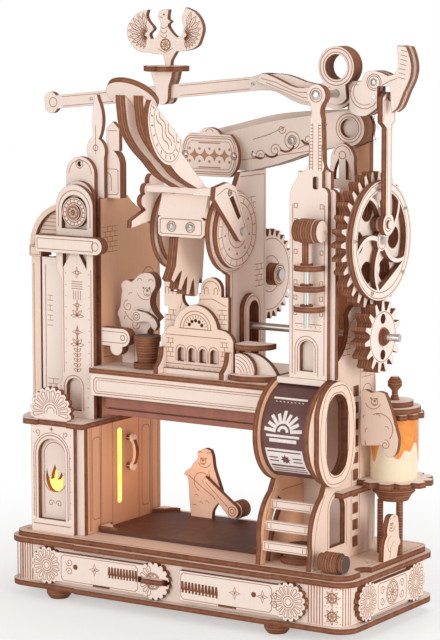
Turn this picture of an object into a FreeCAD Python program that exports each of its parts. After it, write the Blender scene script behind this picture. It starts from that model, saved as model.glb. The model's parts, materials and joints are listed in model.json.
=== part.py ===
"""Wooden mechanical printing press, cut from 3 mm plywood sheet and turned by two steel shafts.

Frame: +Z up, +X to the right, +Y to the back. The origin is the middle of the base, on the surface
it stands on. Sizes are millimetres.
"""
import FreeCAD
import Part
import math
import os
from FreeCAD import Vector

os.makedirs("parts", exist_ok=True)

# Sheet, hardware and fits
PLY = 3.0
FIT = 0.05
GAP = 0.3
FACETS = 3
SHAFT_R = 2.0
PIN_R = 1.5
SCREW_R = 2.2

# Base box and its deck
BASE_W = 220.0
BASE_D = 100.0
CORNER_R = 12.0
FOOT_R = 7.0
FOOT_H = 6.0
FOOT_IN_LEFT = 30.0
FOOT_IN_RIGHT = 48.0
FOOT_IN_Y = 10.0
SKIRT_H = 21.5
SKIRT_IN = 4.0
DECK_IN = 3.0

# Heights of the two working levels, and the main shaft above the upper one
CAVITY_H = 87.5
MAIN_RISE = 76.3

# Fore and aft planes
BACK_Y = 36.0
TOWER_Y = 25.0
STAGE_Y = 34.0
PEDESTAL_Y = 42.0

# Left pedestal and tower: place from the end of the base, widths, and heights above the main shaft
LEFT_END = 13.0
LEFT_W = 34.0
PEDESTAL_H = 60.5
LEFT_SHOULDER_RISE = 15.7
LEFT_RISE = 23.2
CROWN_RISE = 15.0
WINDOW_DROP = 15.3
PANEL_IN = 14.0
WINDOW_IN = 13.5

# Right pedestal and tower: place from the end of the base, widths, and heights above the main shaft
RIGHT_END = 24.0
RIGHT_W = 34.0
TOWER_W = 24.5
RIGHT_RISE = 24.7
PIVOT_RISE = 76.2
PIVOT_IN = 9.0

# Gear train on the right
MODULE = 2.25
WHEEL_TEETH = 30
PINION_TEETH = 15
BACKLASH = 0.16
WHEEL_OUT = 5.0
WHEEL_T = 6.0
PINION_OUT = 7.0
PINION_T = 9.0
FLYWHEEL_R = 31.5
CRANK_R = 9.4
SPOKE = 2.6

# Gear pair behind the middle wall
SIDE_TEETH = 28
SIDE_PINION_TEETH = 18
SIDE_MODULE = 1.66
SIDE_ANGLE = 40.5

# Ink drum, its arms and its clawed sector
DRUM_R = 22.5
DRUM_LEFT = -16.0
DRUM_RIGHT = 25.0
DRUM_Y = -21.0
DRUM_RISE = 79.0
WALL_RISE = 32.7
WALL_X = 15.5
HEAD_R = 13.8
CLAW_R = 36.5
CLAW_X = -5.4

# Great beam and the rocking top lever
LEVER_Y = -3.0
LEVER_SLOPE = 5.85
LEVER_LEN = 190.0
LEVER_H = 7.5
RING_R = 10.7
RING_HOLE_R = 6.6
RING_RISE = 13.8
EAGLE_IN = 109.0
EAGLE_RISE = 12.1

# Poster drum and ladder
POSTER_Y = -20.5
POSTER_DROP = 18.0
POSTER_R = 28.5

# Lantern
LANTERN_OUT = 13.5
LANTERN_Y = 18.0
LANTERN_H = 38.0
JAR_R = 13.0
JAR_H = 33.0

# Levels that follow from the sizes above
Z_SKIRT = FOOT_H + PLY
Z_DECK = Z_SKIRT + SKIRT_H
Z_FLOOR = Z_DECK + 2 * PLY
Z_MID = Z_FLOOR + CAVITY_H
Z_STAGE = Z_MID + 2 * PLY
Z_MAIN = Z_STAGE + MAIN_RISE
Z_DRUM = Z_STAGE + DRUM_RISE
GEAR_DISTANCE = MODULE * (WHEEL_TEETH + PINION_TEETH) / 2
Z_DRIVE = Z_MAIN - GEAR_DISTANCE
Z_CORNICE = Z_FLOOR + PEDESTAL_H
Z_LEFT = Z_CORNICE + PLY
Z_RIGHT = Z_STAGE + PLY
Z_WALL = Z_MAIN + WALL_RISE
POSTER_Z = Z_MID - POSTER_DROP
LEFT_SHOULDER = Z_MAIN + LEFT_SHOULDER_RISE
LEFT_TOWER_TOP = Z_MAIN + LEFT_RISE
LEFT_CROWN_TOP = LEFT_TOWER_TOP + CROWN_RISE
RIGHT_SHOULDER = Z_MAIN + RIGHT_RISE
PIVOT_Z = Z_MAIN + PIVOT_RISE
BORE = SHAFT_R + FIT

# Places across that follow from the sizes above
LEFT_OUT = BASE_W / 2 - LEFT_END
LEFT_IN = LEFT_OUT - LEFT_W
RIGHT_OUT = BASE_W / 2 - RIGHT_END
RIGHT_IN = RIGHT_OUT - RIGHT_W
TOWER_IN = RIGHT_OUT - TOWER_W
WHEEL_X = RIGHT_OUT + WHEEL_OUT
PINION_X = RIGHT_OUT + PINION_OUT
PIVOT_X = RIGHT_OUT - PIVOT_IN
EAGLE_X = PIVOT_X - EAGLE_IN
LANTERN_X = RIGHT_OUT + LANTERN_OUT

NORMAL = {"XY": Vector(0, 0, 1), "XZ": Vector(0, 1, 0), "YZ": Vector(1, 0, 0)}


def at(plane, u, v, depth=0.0):
    """Point with coordinates u, v in a plane, at a depth along the plane's normal."""
    if plane == "XY":
        return Vector(u, v, depth)
    if plane == "XZ":
        return Vector(u, depth, v)
    return Vector(depth, u, v)


def smooth(points):
    """Short facets of a smooth curve that passes through all the points of a run."""
    ends = [points[0] * 2 - points[1], *points, points[-1] * 2 - points[-2]]
    run = []
    for a, b, c, d in zip(ends, ends[1:], ends[2:], ends[3:]):
        for k in range(1, FACETS + 1):
            t = k / FACETS
            run.append((b * 2 + (c - a) * t + (a * 2 - b * 5 + c * 4 - d) * t * t
                        + (b * 3 - a - c * 3 + d) * t * t * t) * 0.5)
    return run


def outline(plane, start, *steps):
    """Closed wire of runs: (u, v) is straight, (middle, end) an arc, a list a smooth curve."""
    edges = []
    here = at(plane, *start)
    for step in steps:
        if isinstance(step, list):
            for point in smooth([here] + [at(plane, *p) for p in step]):
                edges.append(Part.makeLine(here, point))
                here = point
        elif isinstance(step[0], tuple):
            end = at(plane, *step[1])
            edges.append(Part.Arc(here, at(plane, *step[0]), end).toShape())
            here = end
        else:
            end = at(plane, *step)
            edges.append(Part.makeLine(here, end))
            here = end
    first = at(plane, *start)
    if here.distanceToPoint(first) > 1e-6:
        edges.append(Part.makeLine(here, first))
    return Part.Wire(edges)


def placed(plane, u, v, start, *steps, wide=1.0):
    """Outline of a figure whose points are measured from u, v; wide stretches it sideways."""
    def put(point):
        return (u + wide * point[0], v + point[1])

    moved = []
    for step in steps:
        if isinstance(step, list):
            moved.append([put(point) for point in step])
        elif isinstance(step[0], tuple):
            moved.append((put(step[0]), put(step[1])))
        else:
            moved.append(put(step))
    return outline(plane, put(start), *moved)


def box_wire(plane, u0, v0, u1, v1, radius=0.0):
    """Rectangle between two corners, with rounded corners if a radius is given."""
    if radius <= 0:
        return outline(plane, (u0, v0), (u1, v0), (u1, v1), (u0, v1))
    k = radius * (1 - math.sqrt(0.5))
    r = radius
    return outline(
        plane, (u0 + r, v0), (u1 - r, v0), ((u1 - k, v0 + k), (u1, v0 + r)),
        (u1, v1 - r), ((u1 - k, v1 - k), (u1 - r, v1)),
        (u0 + r, v1), ((u0 + k, v1 - k), (u0, v1 - r)),
        (u0, v0 + r), ((u0 + k, v0 + k), (u0 + r, v0)))


def circle(plane, u, v, r):
    """Round wire."""
    return Part.Wire([Part.Circle(at(plane, u, v), NORMAL[plane], r).toShape()])


def arch(plane, u, v0, v1, half):
    """Window with a round head: middle u, sill v0, crown v1, half width."""
    spring = v1 - half
    return outline(plane, (u - half, v0), (u + half, v0), (u + half, spring),
                   ((u, v1), (u - half, spring)))


def scallop(plane, u, v, r, lobes, a0=0.0, a1=360.0):
    """Scalloped edge of lobes about a centre; less than a full turn closes on the centre."""
    step = (a1 - a0) / lobes
    bulge = r * (1 + 0.4 * math.radians(step))

    def polar(radius, degrees):
        angle = math.radians(degrees)
        return (u + radius * math.cos(angle), v + radius * math.sin(angle))

    steps = []
    for k in range(lobes):
        a = a0 + k * step
        steps += [polar(bulge, a + 0.28 * step), polar(bulge, a + 0.72 * step), polar(r, a + step)]
    if abs(a1 - a0) < 359.9:
        steps.append((u, v))
    return outline(plane, polar(r, a0), *steps)


def plate(plane, depth, wire, *holes, thick=PLY):
    """Flat plate cut from sheet: an outer wire, its openings, and the depth where it starts."""
    face = Part.makeFace([wire, *holes], "Part::FaceMakerBullseye")
    solid = face.extrude(NORMAL[plane] * thick)
    solid.translate(NORMAL[plane] * depth)
    return solid


def block(x0, y0, z0, x1, y1, z1):
    """Box between two corners."""
    return Part.makeBox(x1 - x0, y1 - y0, z1 - z0, Vector(x0, y0, z0))


def rod(plane, u, v, d0, d1, r=SHAFT_R):
    """Round bar square to a plane, from depth d0 to d1."""
    return Part.makeCylinder(r, d1 - d0, at(plane, u, v, d0), NORMAL[plane])


def turned(u, v, profile):
    """Piece turned about a vertical axis from (radius, height) points."""
    points = [Vector(u + r, v, z) for r, z in profile]
    face = Part.Face(Part.makePolygon(points + points[:1]))
    return face.revolve(Vector(u, v, 0), Vector(0, 0, 1), 360)


def fused(*shapes):
    """One solid from touching or overlapping shapes."""
    return shapes[0].multiFuse(list(shapes[1:])).removeSplitter()


def group(*shapes):
    """Several separate solids as one node."""
    return Part.makeCompound([solid for shape in shapes for solid in shape.Solids])


def gear_wire(plane, u, v, teeth, module, turn_deg):
    """Spur gear edge with straight-sided teeth that narrow to the tip; turn_deg aims one tooth."""
    pitch_r = module * teeth / 2
    tip_r = pitch_r + module
    root_r = pitch_r - 1.25 * module
    half = math.pi / (2 * teeth) - BACKLASH / (2 * pitch_r)
    slope = math.tan(math.radians(20)) * module / pitch_r
    half_tip = half - slope
    half_root = half + 0.75 * slope
    base = math.radians(turn_deg)

    def polar(radius, angle):
        return (u + radius * math.cos(angle), v + radius * math.sin(angle))

    steps = []
    for k in range(teeth):
        middle = base + 2 * math.pi * k / teeth
        steps += [polar(root_r, middle - half_root), polar(tip_r, middle - half_tip),
                  polar(tip_r, middle + half_tip), polar(root_r, middle + half_root)]
    return outline(plane, steps[0], *steps[1:])


# Base

def base_outline(inset, radius):
    """Plan of the base with round corners and a shallow step along the front."""
    x = BASE_W / 2 - inset
    y = BASE_D / 2 - inset
    k = radius * (1 - math.sqrt(0.5))
    step = 1.2
    run = BASE_W * 0.29
    return outline(
        "XY", (-x + radius, -y + step), (-run, -y + step), (-run + step, -y), (run - step, -y),
        (run, -y + step), (x - radius, -y + step),
        ((x - k, -y + k + step * 0.5), (x, -y + radius)), (x, y - radius),
        ((x - k, y - k), (x - radius, y)), (-x + radius, y),
        ((-x + k, y - k), (-x, y - radius)), (-x, -y + radius),
        ((-x + k, -y + k + step * 0.5), (-x + radius, -y + step)))


def feet():
    """Four domed feet of two glued discs."""
    profile = [(0, 0), (FOOT_R - 2, 0), (FOOT_R - 0.6, PLY * 0.55), (FOOT_R, PLY),
               (FOOT_R, FOOT_H), (0, FOOT_H)]
    across = (FOOT_IN_LEFT - BASE_W / 2, BASE_W / 2 - FOOT_IN_RIGHT)
    spots = [(x, sy * (BASE_D / 2 - FOOT_IN_Y)) for x in across for sy in (-1, 1)]
    return group(*[turned(x, y, profile) for x, y in spots])


def bottom_plate():
    """Sheet under the base."""
    return plate("XY", FOOT_H, base_outline(0, CORNER_R))


SLIDE_X = -11.0
SLIDE_HALF = 6.5
SLIDE_TRAVEL = 3.0
Z_SLIDE = Z_SKIRT + SKIRT_H / 2
SKIRT_Y = BASE_D / 2 - SKIRT_IN
SKIRT_X = BASE_W / 2 - SKIRT_IN


def slide_slot(margin):
    """Room that the switch tab slides in, as a box through the front of the base."""
    reach = SLIDE_HALF + SLIDE_TRAVEL + margin
    half = PLY / 2 + margin
    return block(SLIDE_X - reach, -BASE_D, Z_SLIDE - half, SLIDE_X + reach, -SKIRT_Y + 6, Z_SLIDE + half)


def skirt():
    """Wall bent round the base between its two plates."""
    outer = box_wire("XY", -SKIRT_X, -SKIRT_Y, SKIRT_X, SKIRT_Y, CORNER_R - SKIRT_IN)
    x, y = SKIRT_X - PLY, SKIRT_Y - PLY
    inner = box_wire("XY", -x, -y, x, y, CORNER_R - SKIRT_IN - PLY)
    ring = plate("XY", Z_SKIRT, outer, inner, thick=SKIRT_H)
    return ring.cut(slide_slot(0.1))


def overlay_strip(plane, u0, u1, left_lobe, right_lobe, depth, thick):
    """Engraved strip along the base with a scalloped shell at either end."""
    low, high = Z_SKIRT + 2.5, Z_SKIRT + SKIRT_H - 2.5
    middle = (low + high) / 2
    radius = (high - low) / 2 + 0.8
    pieces = [plate(plane, depth, box_wire(plane, u0, low, u1, high), thick=thick)]
    if left_lobe:
        pieces.append(plate(plane, depth, scallop(plane, u0, middle, radius, 16), thick=thick))
    if right_lobe:
        pieces.append(plate(plane, depth, scallop(plane, u1, middle, radius, 16), thick=thick))
    return fused(*pieces)


def front_overlays():
    """Two strips on the front of the base; the left one ends in the rosette of the switch."""
    depth = -SKIRT_Y - PLY
    left = overlay_strip("XZ", 28 - BASE_W / 2, SLIDE_X, True, True, depth, PLY).cut(slide_slot(0.1))
    right = overlay_strip("XZ", SLIDE_X + 17, BASE_W / 2 - 36, False, True, depth, PLY)
    return group(left, right)


def side_overlays():
    """Strips on both ends of the base."""
    half = BASE_D / 2 - 24
    right = overlay_strip("YZ", -half, half, True, True, SKIRT_X, PLY)
    left = overlay_strip("YZ", -half, half, True, True, -SKIRT_X - PLY, PLY)
    return group(left, right)


def deck_lower():
    """Lower of the two deck plates, with the outline of the bottom plate."""
    return plate("XY", Z_DECK, base_outline(0, CORNER_R))


def deck_upper():
    """Upper deck plate, set in from the edge, with scrolled front corners."""
    x = BASE_W / 2 - DECK_IN
    y = BASE_D / 2 - DECK_IN
    main = box_wire("XY", -x, -y, x, y, CORNER_R - DECK_IN)
    cuts = [circle("XY", sx * x, -y + 22, 6.0) for sx in (-1, 1)]
    pieces = plate("XY", Z_DECK + PLY, main)
    for wire in cuts:
        pieces = pieces.cut(plate("XY", Z_DECK + PLY, wire))
    return pieces


# Press cavity between the pedestals

BED_T = 2.0
BEAR_Y = BACK_Y - 7.0
ROLLER_R = 5.0
ROLLER_LIFT = 1.5


def cavity_floor():
    """Dark glossy bed sheet that the platen comes down on."""
    return block(-LEFT_IN + 2, -TOWER_Y - 2, Z_FLOOR, RIGHT_IN - 2, BACK_Y, Z_FLOOR + BED_T)


def floor_clips():
    """Curved corner clips that hold the bed sheet down."""
    z = Z_FLOOR + BED_T
    leg = 12.0
    clips = []
    for x, sx in ((-LEFT_IN + 2, 1), (RIGHT_IN - 2, -1)):
        for y, sy in ((-TOWER_Y - 2, 1), (BACK_Y, -1)):
            a, b = sx * leg, sy * leg
            wire = placed("XY", x, y, (0, 0), (a, 0), ((a * 0.55, b * 0.22), (a * 0.45, b * 0.45)),
                          ((a * 0.22, b * 0.55), (0, b)))
            clips.append(plate("XY", z, wire, thick=BED_T))
    return group(*clips)


LAMP_Y = -5.0
LAMP_HALF = 2.0


def left_cavity_wall():
    """Wall on the left of the cavity, with a slot for the lamp."""
    wall = box_wire("YZ", -PEDESTAL_Y + 2 * PLY, Z_FLOOR, BACK_Y, Z_CORNICE)
    slot = box_wire("YZ", LAMP_Y - LAMP_HALF, Z_FLOOR + 13, LAMP_Y + LAMP_HALF, Z_CORNICE - 5, 1.5)
    return plate("YZ", -LEFT_IN - PLY, wall, slot)


def lamp_strip():
    """Warm light bar in the slot of the cavity wall."""
    half = LAMP_HALF - 0.1
    wire = box_wire("YZ", LAMP_Y - half, Z_FLOOR + 13.1, LAMP_Y + half, Z_CORNICE - 5.1, 1.4)
    return plate("YZ", -LEFT_IN - PLY, wire, thick=PLY)


def door_handle():
    """Bowed pull with two knobs beside the lamp."""
    y, z = 3.0, Z_FLOOR + 41
    x = -LEFT_IN
    knobs = [rod("YZ", y, z + dz, x, x + 3.0, 1.6) for dz in (-8, 8)]
    bow = outline("XZ", (x + 3.0, z - 9.6), ((x + 6.6, z), (x + 3.0, z + 9.6)),
                  (x + 1.2, z + 9.6), ((x + 4.6, z), (x + 1.2, z - 9.6)))
    return fused(plate("XZ", y - 1.3, bow, thick=2.6), *knobs)


def printer_bear():
    """Standing bear at the back of the cavity, leaning on a hand roller."""
    body = placed("XZ", -LEFT_IN, Z_FLOOR + BED_T, (25.5, 0), (39.7, 0), (40, 4), [(42.4, 8), (47, 11.7)],
                  [(45.6, 17.3), (42.2, 26.1), (40.8, 30.5), (40.1, 35.6), (38.7, 39.2)],
                  [(35, 40), (32.2, 38.6)], [(30, 37.4), (30, 33.9), (27.3, 30.8), (25.3, 27.7)],
                  [(21.9, 25.5), (20.6, 23.7)], [(23.3, 22.2), (24, 17.1), (24.5, 9.1), (25.5, 0)])
    return plate("XZ", BEAR_Y, body)


def ink_roller():
    """Hand roller that the bear holds: a bar with a round end and the laminated wheel behind it."""
    x, z = 55.0 - LEFT_IN, Z_FLOOR + BED_T + ROLLER_R + ROLLER_LIFT
    y = BEAR_Y - PLY
    bar = placed("XZ", x, z, (-20, 15), (-18, 18), (3, 2.6), (-2.6, -3))
    end = rod("XZ", x, z, y, y + PLY, ROLLER_R - 1)
    wheel = rod("XZ", x, z, y + PLY, y + 4 * PLY, ROLLER_R)
    return fused(plate("XZ", y, bar), end, wheel)


def platen():
    """Dark pressing plate of two leaves, with guide posts and the yoke that the cam pushes."""
    x0, x1 = -LEFT_IN + 7, RIGHT_IN - 3
    y0, y1 = -TOWER_Y - 3, BACK_Y - 3
    top = Z_MID - 10.0
    lower = block(x0, y0, top - 10, x1, y1, top - 7)
    neck = block(x0 + 2, y0 + 2, top - 7, x1 - 2, y1 - 2, top - 6)
    upper = block(x0, y0, top - 6, x1, y1, top)
    return fused(lower, neck, upper)


GUIDE_X = (-15.0, 6.0)
CAM_R = 8.0
CAM_OFFSET = 3.0
PLATEN_TRAVEL = 8.0


def platen_guides():
    """Steel guide posts of the platen, joined above the stage by a yoke."""
    top = Z_DRIVE - CAM_R - CAM_OFFSET - GAP
    posts = [rod("XY", x, 0, Z_MID - 10.0, top - 6.0) for x in GUIDE_X]
    yoke = block(GUIDE_X[0] - 4, -4, top - 6.0, GUIDE_X[1] + 3.4, 4, top)
    return fused(yoke, *posts)


# Stage

def stage_plates():
    """Double plate above the cavity, bored for the platen's guide posts."""
    lower = box_wire("XY", -LEFT_IN, -STAGE_Y + 4, RIGHT_IN, BACK_Y)
    upper = box_wire("XY", -LEFT_IN, -STAGE_Y, RIGHT_IN, BACK_Y)
    bores = [circle("XY", x, 0, BORE) for x in GUIDE_X]
    return fused(plate("XY", Z_MID, lower, *bores), plate("XY", Z_MID + PLY, upper, *bores))


def fascia():
    """Engraved board under the front edge of the stage."""
    return block(-LEFT_IN, -STAGE_Y + 1, Z_MID - 9.5, RIGHT_IN, -STAGE_Y + 4, Z_MID + PLY)


FACADE_Y = -TOWER_Y
HALL_LEFT = -21.0
HALL_RIGHT = 25.0
NOTCH_X = -4.0
NOTCH_HALF = 5.0


def facade_back():
    """Rear layer of the small hall: notched wall, corner turret and a gap for the sector."""
    z = Z_STAGE
    wall = outline(
        "XZ", (HALL_LEFT, z), (20, z), (20, z + 43), (15.5, z + 43), (15.5, z + 46),
        ((9, z + 53), (2.6, z + 46)), (2.6, z + 44),
        (NOTCH_X + NOTCH_HALF, z + 44), ((NOTCH_X, z + 36), (NOTCH_X - NOTCH_HALF, z + 44)),
        (NOTCH_X - NOTCH_HALF, z + 50), (-12, z + 50), (-12, z + 44), (-17, z + 44), (-17, z + 50),
        (HALL_LEFT, z + 50), (HALL_LEFT, z + 36), (-18.5, z + 36), (-18.5, z + 31), (HALL_LEFT, z + 31))
    return plate("XZ", FACADE_Y + PLY, wall)


def facade_front():
    """Front layer of the small hall: gable arch, rose window and four round-headed windows."""
    z = Z_STAGE
    wall = outline(
        "XZ", (HALL_LEFT, z), (HALL_RIGHT, z), (HALL_RIGHT, z + 20), ((22, z + 24), (18, z + 25.5)),
        (15, z + 26), ((0, z + 38), (-13, z + 26)), (-16, z + 25.5), (HALL_LEFT, z + 20))
    rose = outline("XZ", (-7, z + 25), (9, z + 25), ((1, z + 33), (-7, z + 25)))
    arches = [arch("XZ", x, z + 7, z + 14.5, 2.1) for x in (-8.5, -1.5, 5.5, 12.5)]
    return plate("XZ", FACADE_Y, wall, rose, *arches)


def rose_window():
    """Pierced half disc that fills the rose window."""
    z = Z_STAGE + 25
    half = outline("XZ", (-6.9, z + 0.1), (8.9, z + 0.1), ((1, z + 7.9), (-6.9, z + 0.1)))
    holes = [circle("XZ", 1 + 4.6 * math.cos(math.radians(a)), z + 4.6 * math.sin(math.radians(a)), 0.9)
             for a in (30, 60, 90, 120, 150)]
    return plate("XZ", FACADE_Y, half, *holes)


def facade_braces():
    """Two buttresses and the step along the foot of the hall."""
    z = Z_STAGE
    y = FACADE_Y
    profile = outline("YZ", (y, z), (y - 8, z), (y - 8, z + 4), ((y - 3.4, z + 9), (y - 2.5, z + 14)),
                      (y, z + 14))
    right = HALL_RIGHT - PLY - 1
    braces = [plate("YZ", x, profile) for x in (HALL_LEFT, right)]
    step = block(HALL_LEFT + PLY, y - PLY, z, right, y, z + PLY)
    return group(step, *braces)


def stage_fan():
    """Half-round fan, the two curved trays beside it and the leaf wall between them."""
    z = Z_STAGE
    y = FACADE_Y + 1
    x, far = HALL_RIGHT, RIGHT_IN - 1
    tray = outline("XY", (x, y + 12), (x, y - 5), ((far - 11, y - 6), (far - 1, y + 2)), (far, y + 12))
    leaf = outline("XZ", (x + 1, z + PLY), (far - 1, z + PLY), ((far - 8, z + 11), (x + 1, z + 13.5)))
    roof = outline("XY", (x, y + 12), (x, y), ((far - 15, y - 2), (far - 7, y + 6)), (far - 7, y + 12))
    fan = outline("XZ", (x + 1, z + PLY), (x + 13, z + PLY), ((x + 10, z + 12), (x + 1, z + 13.5)))
    post = block(x, y + 6, z + PLY, x + PLY, y + 12, z + 16)
    return group(plate("XY", z, tray), plate("XZ", y + 3, leaf), plate("XY", z + 16, roof),
                 plate("XZ", y - 1, fan), post)


STAGE_LEFT = LEFT_IN + HALL_LEFT
FIGURE_WIDE = STAGE_LEFT / 42.0
STAGE_BEAR_Y = -9.0
BUCKET_OUT = 28.0 * FIGURE_WIDE
BUCKET_R = 7.4
BUCKET_Y = -18.0
LATCH_GAP = 1.6


def stage_bear():
    """Bear that stands on the stage and leans over the bucket."""
    body = placed("XZ", -LEFT_IN, Z_STAGE, (5, 0), (21, 0), (22, 19), [(26, 23.5), (29.2, 26.4)],
                  [(26, 29.5), (24, 33), (23.8, 37), (25.1, 40.5), (27.1, 43.4), (27.1, 47.8), (24.4, 50.9),
                   (20.4, 51.2)], [(16.4, 49.8), (13.1, 46.8), (11.1, 45.5)],
                  [(7.8, 46.4), (4.4, 43.9), (5.1, 40.1)],
                  [(4.4, 36.7), (3.8, 31.6), (1.8, 27.5), (3.1, 24.3), (4.5, 19)], wide=FIGURE_WIDE)
    return plate("XZ", STAGE_BEAR_Y, body, thick=2 * PLY)


def bear_arm():
    """Pinned forearm of the stage bear, reaching over the bucket."""
    arm = placed("XZ", -LEFT_IN, Z_STAGE + 27, (16.5, -3.5), ((13, 0), (16.5, 3.5)), (23, 2.5),
                 [(28, 0), (30.5, -4), (29, -7)], (27, -6), [(25, -3), (22, -2.5)], wide=FIGURE_WIDE)
    return plate("XZ", STAGE_BEAR_Y - PLY, arm)


def ink_bucket():
    """Laminated bucket of dark discs on the stage."""
    z = Z_STAGE
    r = BUCKET_R
    profile = [(0, z), (r + 0.2, z), (r + 0.2, z + PLY), (r - 2.0, z + PLY), (r - 0.8, z + 5 * PLY),
               (r, z + 5 * PLY), (r, z + 6 * PLY), (0, z + 6 * PLY)]
    return turned(BUCKET_OUT - LEFT_IN, BUCKET_Y, profile)


def stage_latch():
    """Round-ended double bar with a lobe under it, on the left of the stage and short of the bucket."""
    r = 5.0
    flat = BUCKET_OUT - BUCKET_R - LATCH_GAP - r
    bar = placed("XZ", -LEFT_IN, Z_STAGE + 16, (0, -r), (flat, -r), ((flat + r, 0), (flat, r)), (0, r))
    lobe = placed("XZ", -LEFT_IN, Z_STAGE + 16, (flat - 8, -r), ((flat - 4, -2 * r), (flat, -r)))
    y = BUCKET_Y - 4.0
    return fused(plate("XZ", y, bar, thick=2 * PLY), plate("XZ", y, lobe, thick=2 * PLY))


# Left pedestal and tower

PANEL_X = PANEL_IN - LEFT_OUT
PANEL_HALF = 9.2


def left_pedestal():
    """Front, outer and back walls of the left pedestal; the front has an arched recess."""
    x0, x1 = -LEFT_OUT, -LEFT_IN
    recess = arch("XZ", PANEL_X, Z_FLOOR + 7.5, Z_CORNICE - 7.5, PANEL_HALF)
    front = plate("XZ", -PEDESTAL_Y, box_wire("XZ", x0, Z_FLOOR, x1 - 5, Z_CORNICE), recess)
    side = plate("YZ", x0, box_wire("YZ", -PEDESTAL_Y + PLY, Z_FLOOR, BACK_Y, Z_CORNICE))
    back = plate("XZ", BACK_Y - PLY, box_wire("XZ", x0 + PLY, Z_FLOOR, x1 - PLY, Z_CORNICE))
    return group(front, side, back)


def flame_wire():
    """Flame with three tongues."""
    return placed("XZ", PANEL_X, Z_FLOOR + 23, (-5, 3), [(-2.5, 0), (2.5, 0), (5, 3)], [(5.5, 8), (4.5, 11)],
                  [(3, 8), (2, 6.5)], [(1.5, 11), (0, 15)], [(-2, 10), (-2.5, 6.5)], [(-4.5, 8), (-5.5, 12)],
                  [(-6, 7), (-5, 3)])


def flame_panel():
    """Plate behind the arched recess, pierced by the flame."""
    x0, x1 = -LEFT_OUT + PLY, -LEFT_IN
    return plate("XZ", -PEDESTAL_Y + PLY, box_wire("XZ", x0, Z_FLOOR, x1, Z_CORNICE), flame_wire())


def flame_lamp():
    """Warm light sheet behind the flame."""
    x = PANEL_X
    wire = box_wire("XZ", x - 9, Z_FLOOR + 19, x + 9, Z_FLOOR + 43, 2.0)
    return plate("XZ", -PEDESTAL_Y + 2 * PLY, wire, thick=1.2)


def left_cornice():
    """Moulded top plate of the left pedestal, carried out to the left under the arch post."""
    y0 = -PEDESTAL_Y - 3
    left, right = -LEFT_OUT - 3, -LEFT_IN + 3
    end = ARCH_X - 0.5
    wire = outline("XY", (left, y0), (left + 9, y0), (left + 9, y0 + 2), (right - 11, y0 + 2),
                   (right - 11, y0), (right, y0), (right, BACK_Y), (end, BACK_Y), (end, -TOWER_Y - 3),
                   ((end + 3, -PEDESTAL_Y + 6), (left, y0)))
    return plate("XY", Z_CORNICE, wire)


def shell_ornament():
    """Scalloped shell that stands on the front of the left cornice."""
    x, r, rise = PANEL_X - 0.5, 12.5, 4.5
    shell = plate("XZ", -PEDESTAL_Y, scallop("XZ", x, Z_LEFT + rise, r, 12, -18, 198))
    foot = block(x - r + 1, -PEDESTAL_Y, Z_LEFT, x + r - 1, -PEDESTAL_Y + PLY, Z_LEFT + rise)
    return fused(shell, foot)


WINDOW_X = -LEFT_IN - WINDOW_IN
WINDOW_Z = LEFT_TOWER_TOP - WINDOW_DROP
LAYER_X = -LEFT_OUT - 4
ARCH_X = -LEFT_OUT - 12


def left_tower_front():
    """Tall front of the left tower: round head, medallion window, braces and a niche."""
    half = 12.5
    x0, x1 = WINDOW_X - half, WINDOW_X + half
    z = WINDOW_Z - 30
    waist = 3.5
    wire = outline("XZ", (x0, Z_LEFT), (x1, Z_LEFT), (x1, LEFT_TOWER_TOP - half),
                   ((WINDOW_X, LEFT_TOWER_TOP), (x0, LEFT_TOWER_TOP - half)), (x0, z - 2),
                   (x0 + waist, z - 7), (x0 + waist, Z_LEFT + 24),
                   ((x0 + waist - 0.5, Z_LEFT + 20), (x0, Z_LEFT + 18)))
    window = arch("XZ", WINDOW_X, WINDOW_Z - 9, WINDOW_Z + 9.5, 8.5)
    niche = arch("XZ", WINDOW_X - 1, Z_LEFT + 4, Z_LEFT + 22, 5.0)
    gaps = [outline("XZ", (WINDOW_X + s * 8, z + 7), (WINDOW_X + s * 3, z + 7), (WINDOW_X + s * 8, z - 1))
            for s in (-1, 1)]
    return plate("XZ", -TOWER_Y - PLY, wire, window, niche, *gaps)


def left_tower_layer():
    """Wider layer behind the front of the left tower."""
    x0, x1 = LAYER_X, -LEFT_IN - PLY
    step = WINDOW_Z - 26
    rim = WINDOW_X - 10
    wire = outline("XZ", (x0, Z_LEFT), (x1, Z_LEFT), (x1, WINDOW_Z + 4),
                   ((WINDOW_X + 2, WINDOW_Z + 17), (rim, WINDOW_Z + 4)), (rim, step), (x0, step))
    return plate("XZ", -TOWER_Y, wire)


def left_tower_crown():
    """Taller round-headed panel behind the left tower's front."""
    half = 9.5
    x = WINDOW_X
    top = LEFT_CROWN_TOP
    wire = outline("XZ", (x - half, WINDOW_Z - 32), (x + half, WINDOW_Z - 32), (x + half, top - half),
                   ((x, top), (x - half, top - half)))
    return plate("XZ", -TOWER_Y + PLY, wire, circle("XZ", x - 0.5, top - 4, 1.4))


def medallion():
    """Round medallion in the left tower's window, in two steps."""
    y = -TOWER_Y
    ring = rod("XZ", WINDOW_X, WINDOW_Z, y - PLY, y, 8.2)
    boss = rod("XZ", WINDOW_X, WINDOW_Z, y - PLY - 1.2, y - PLY, 4.4)
    return fused(ring, boss)


def shelf_bar():
    """Laminated bar across the left tower, with a round right end."""
    z = WINDOW_Z - 17.5
    r = 4.6
    x0, x1 = LAYER_X + 2, -LEFT_IN + 9
    wire = outline("XZ", (x0, z - r), (x1 - r, z - r), ((x1, z), (x1 - r, z + r)), (x0, z + r))
    return plate("XZ", -TOWER_Y - 3 * PLY, wire, thick=2 * PLY)


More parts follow.
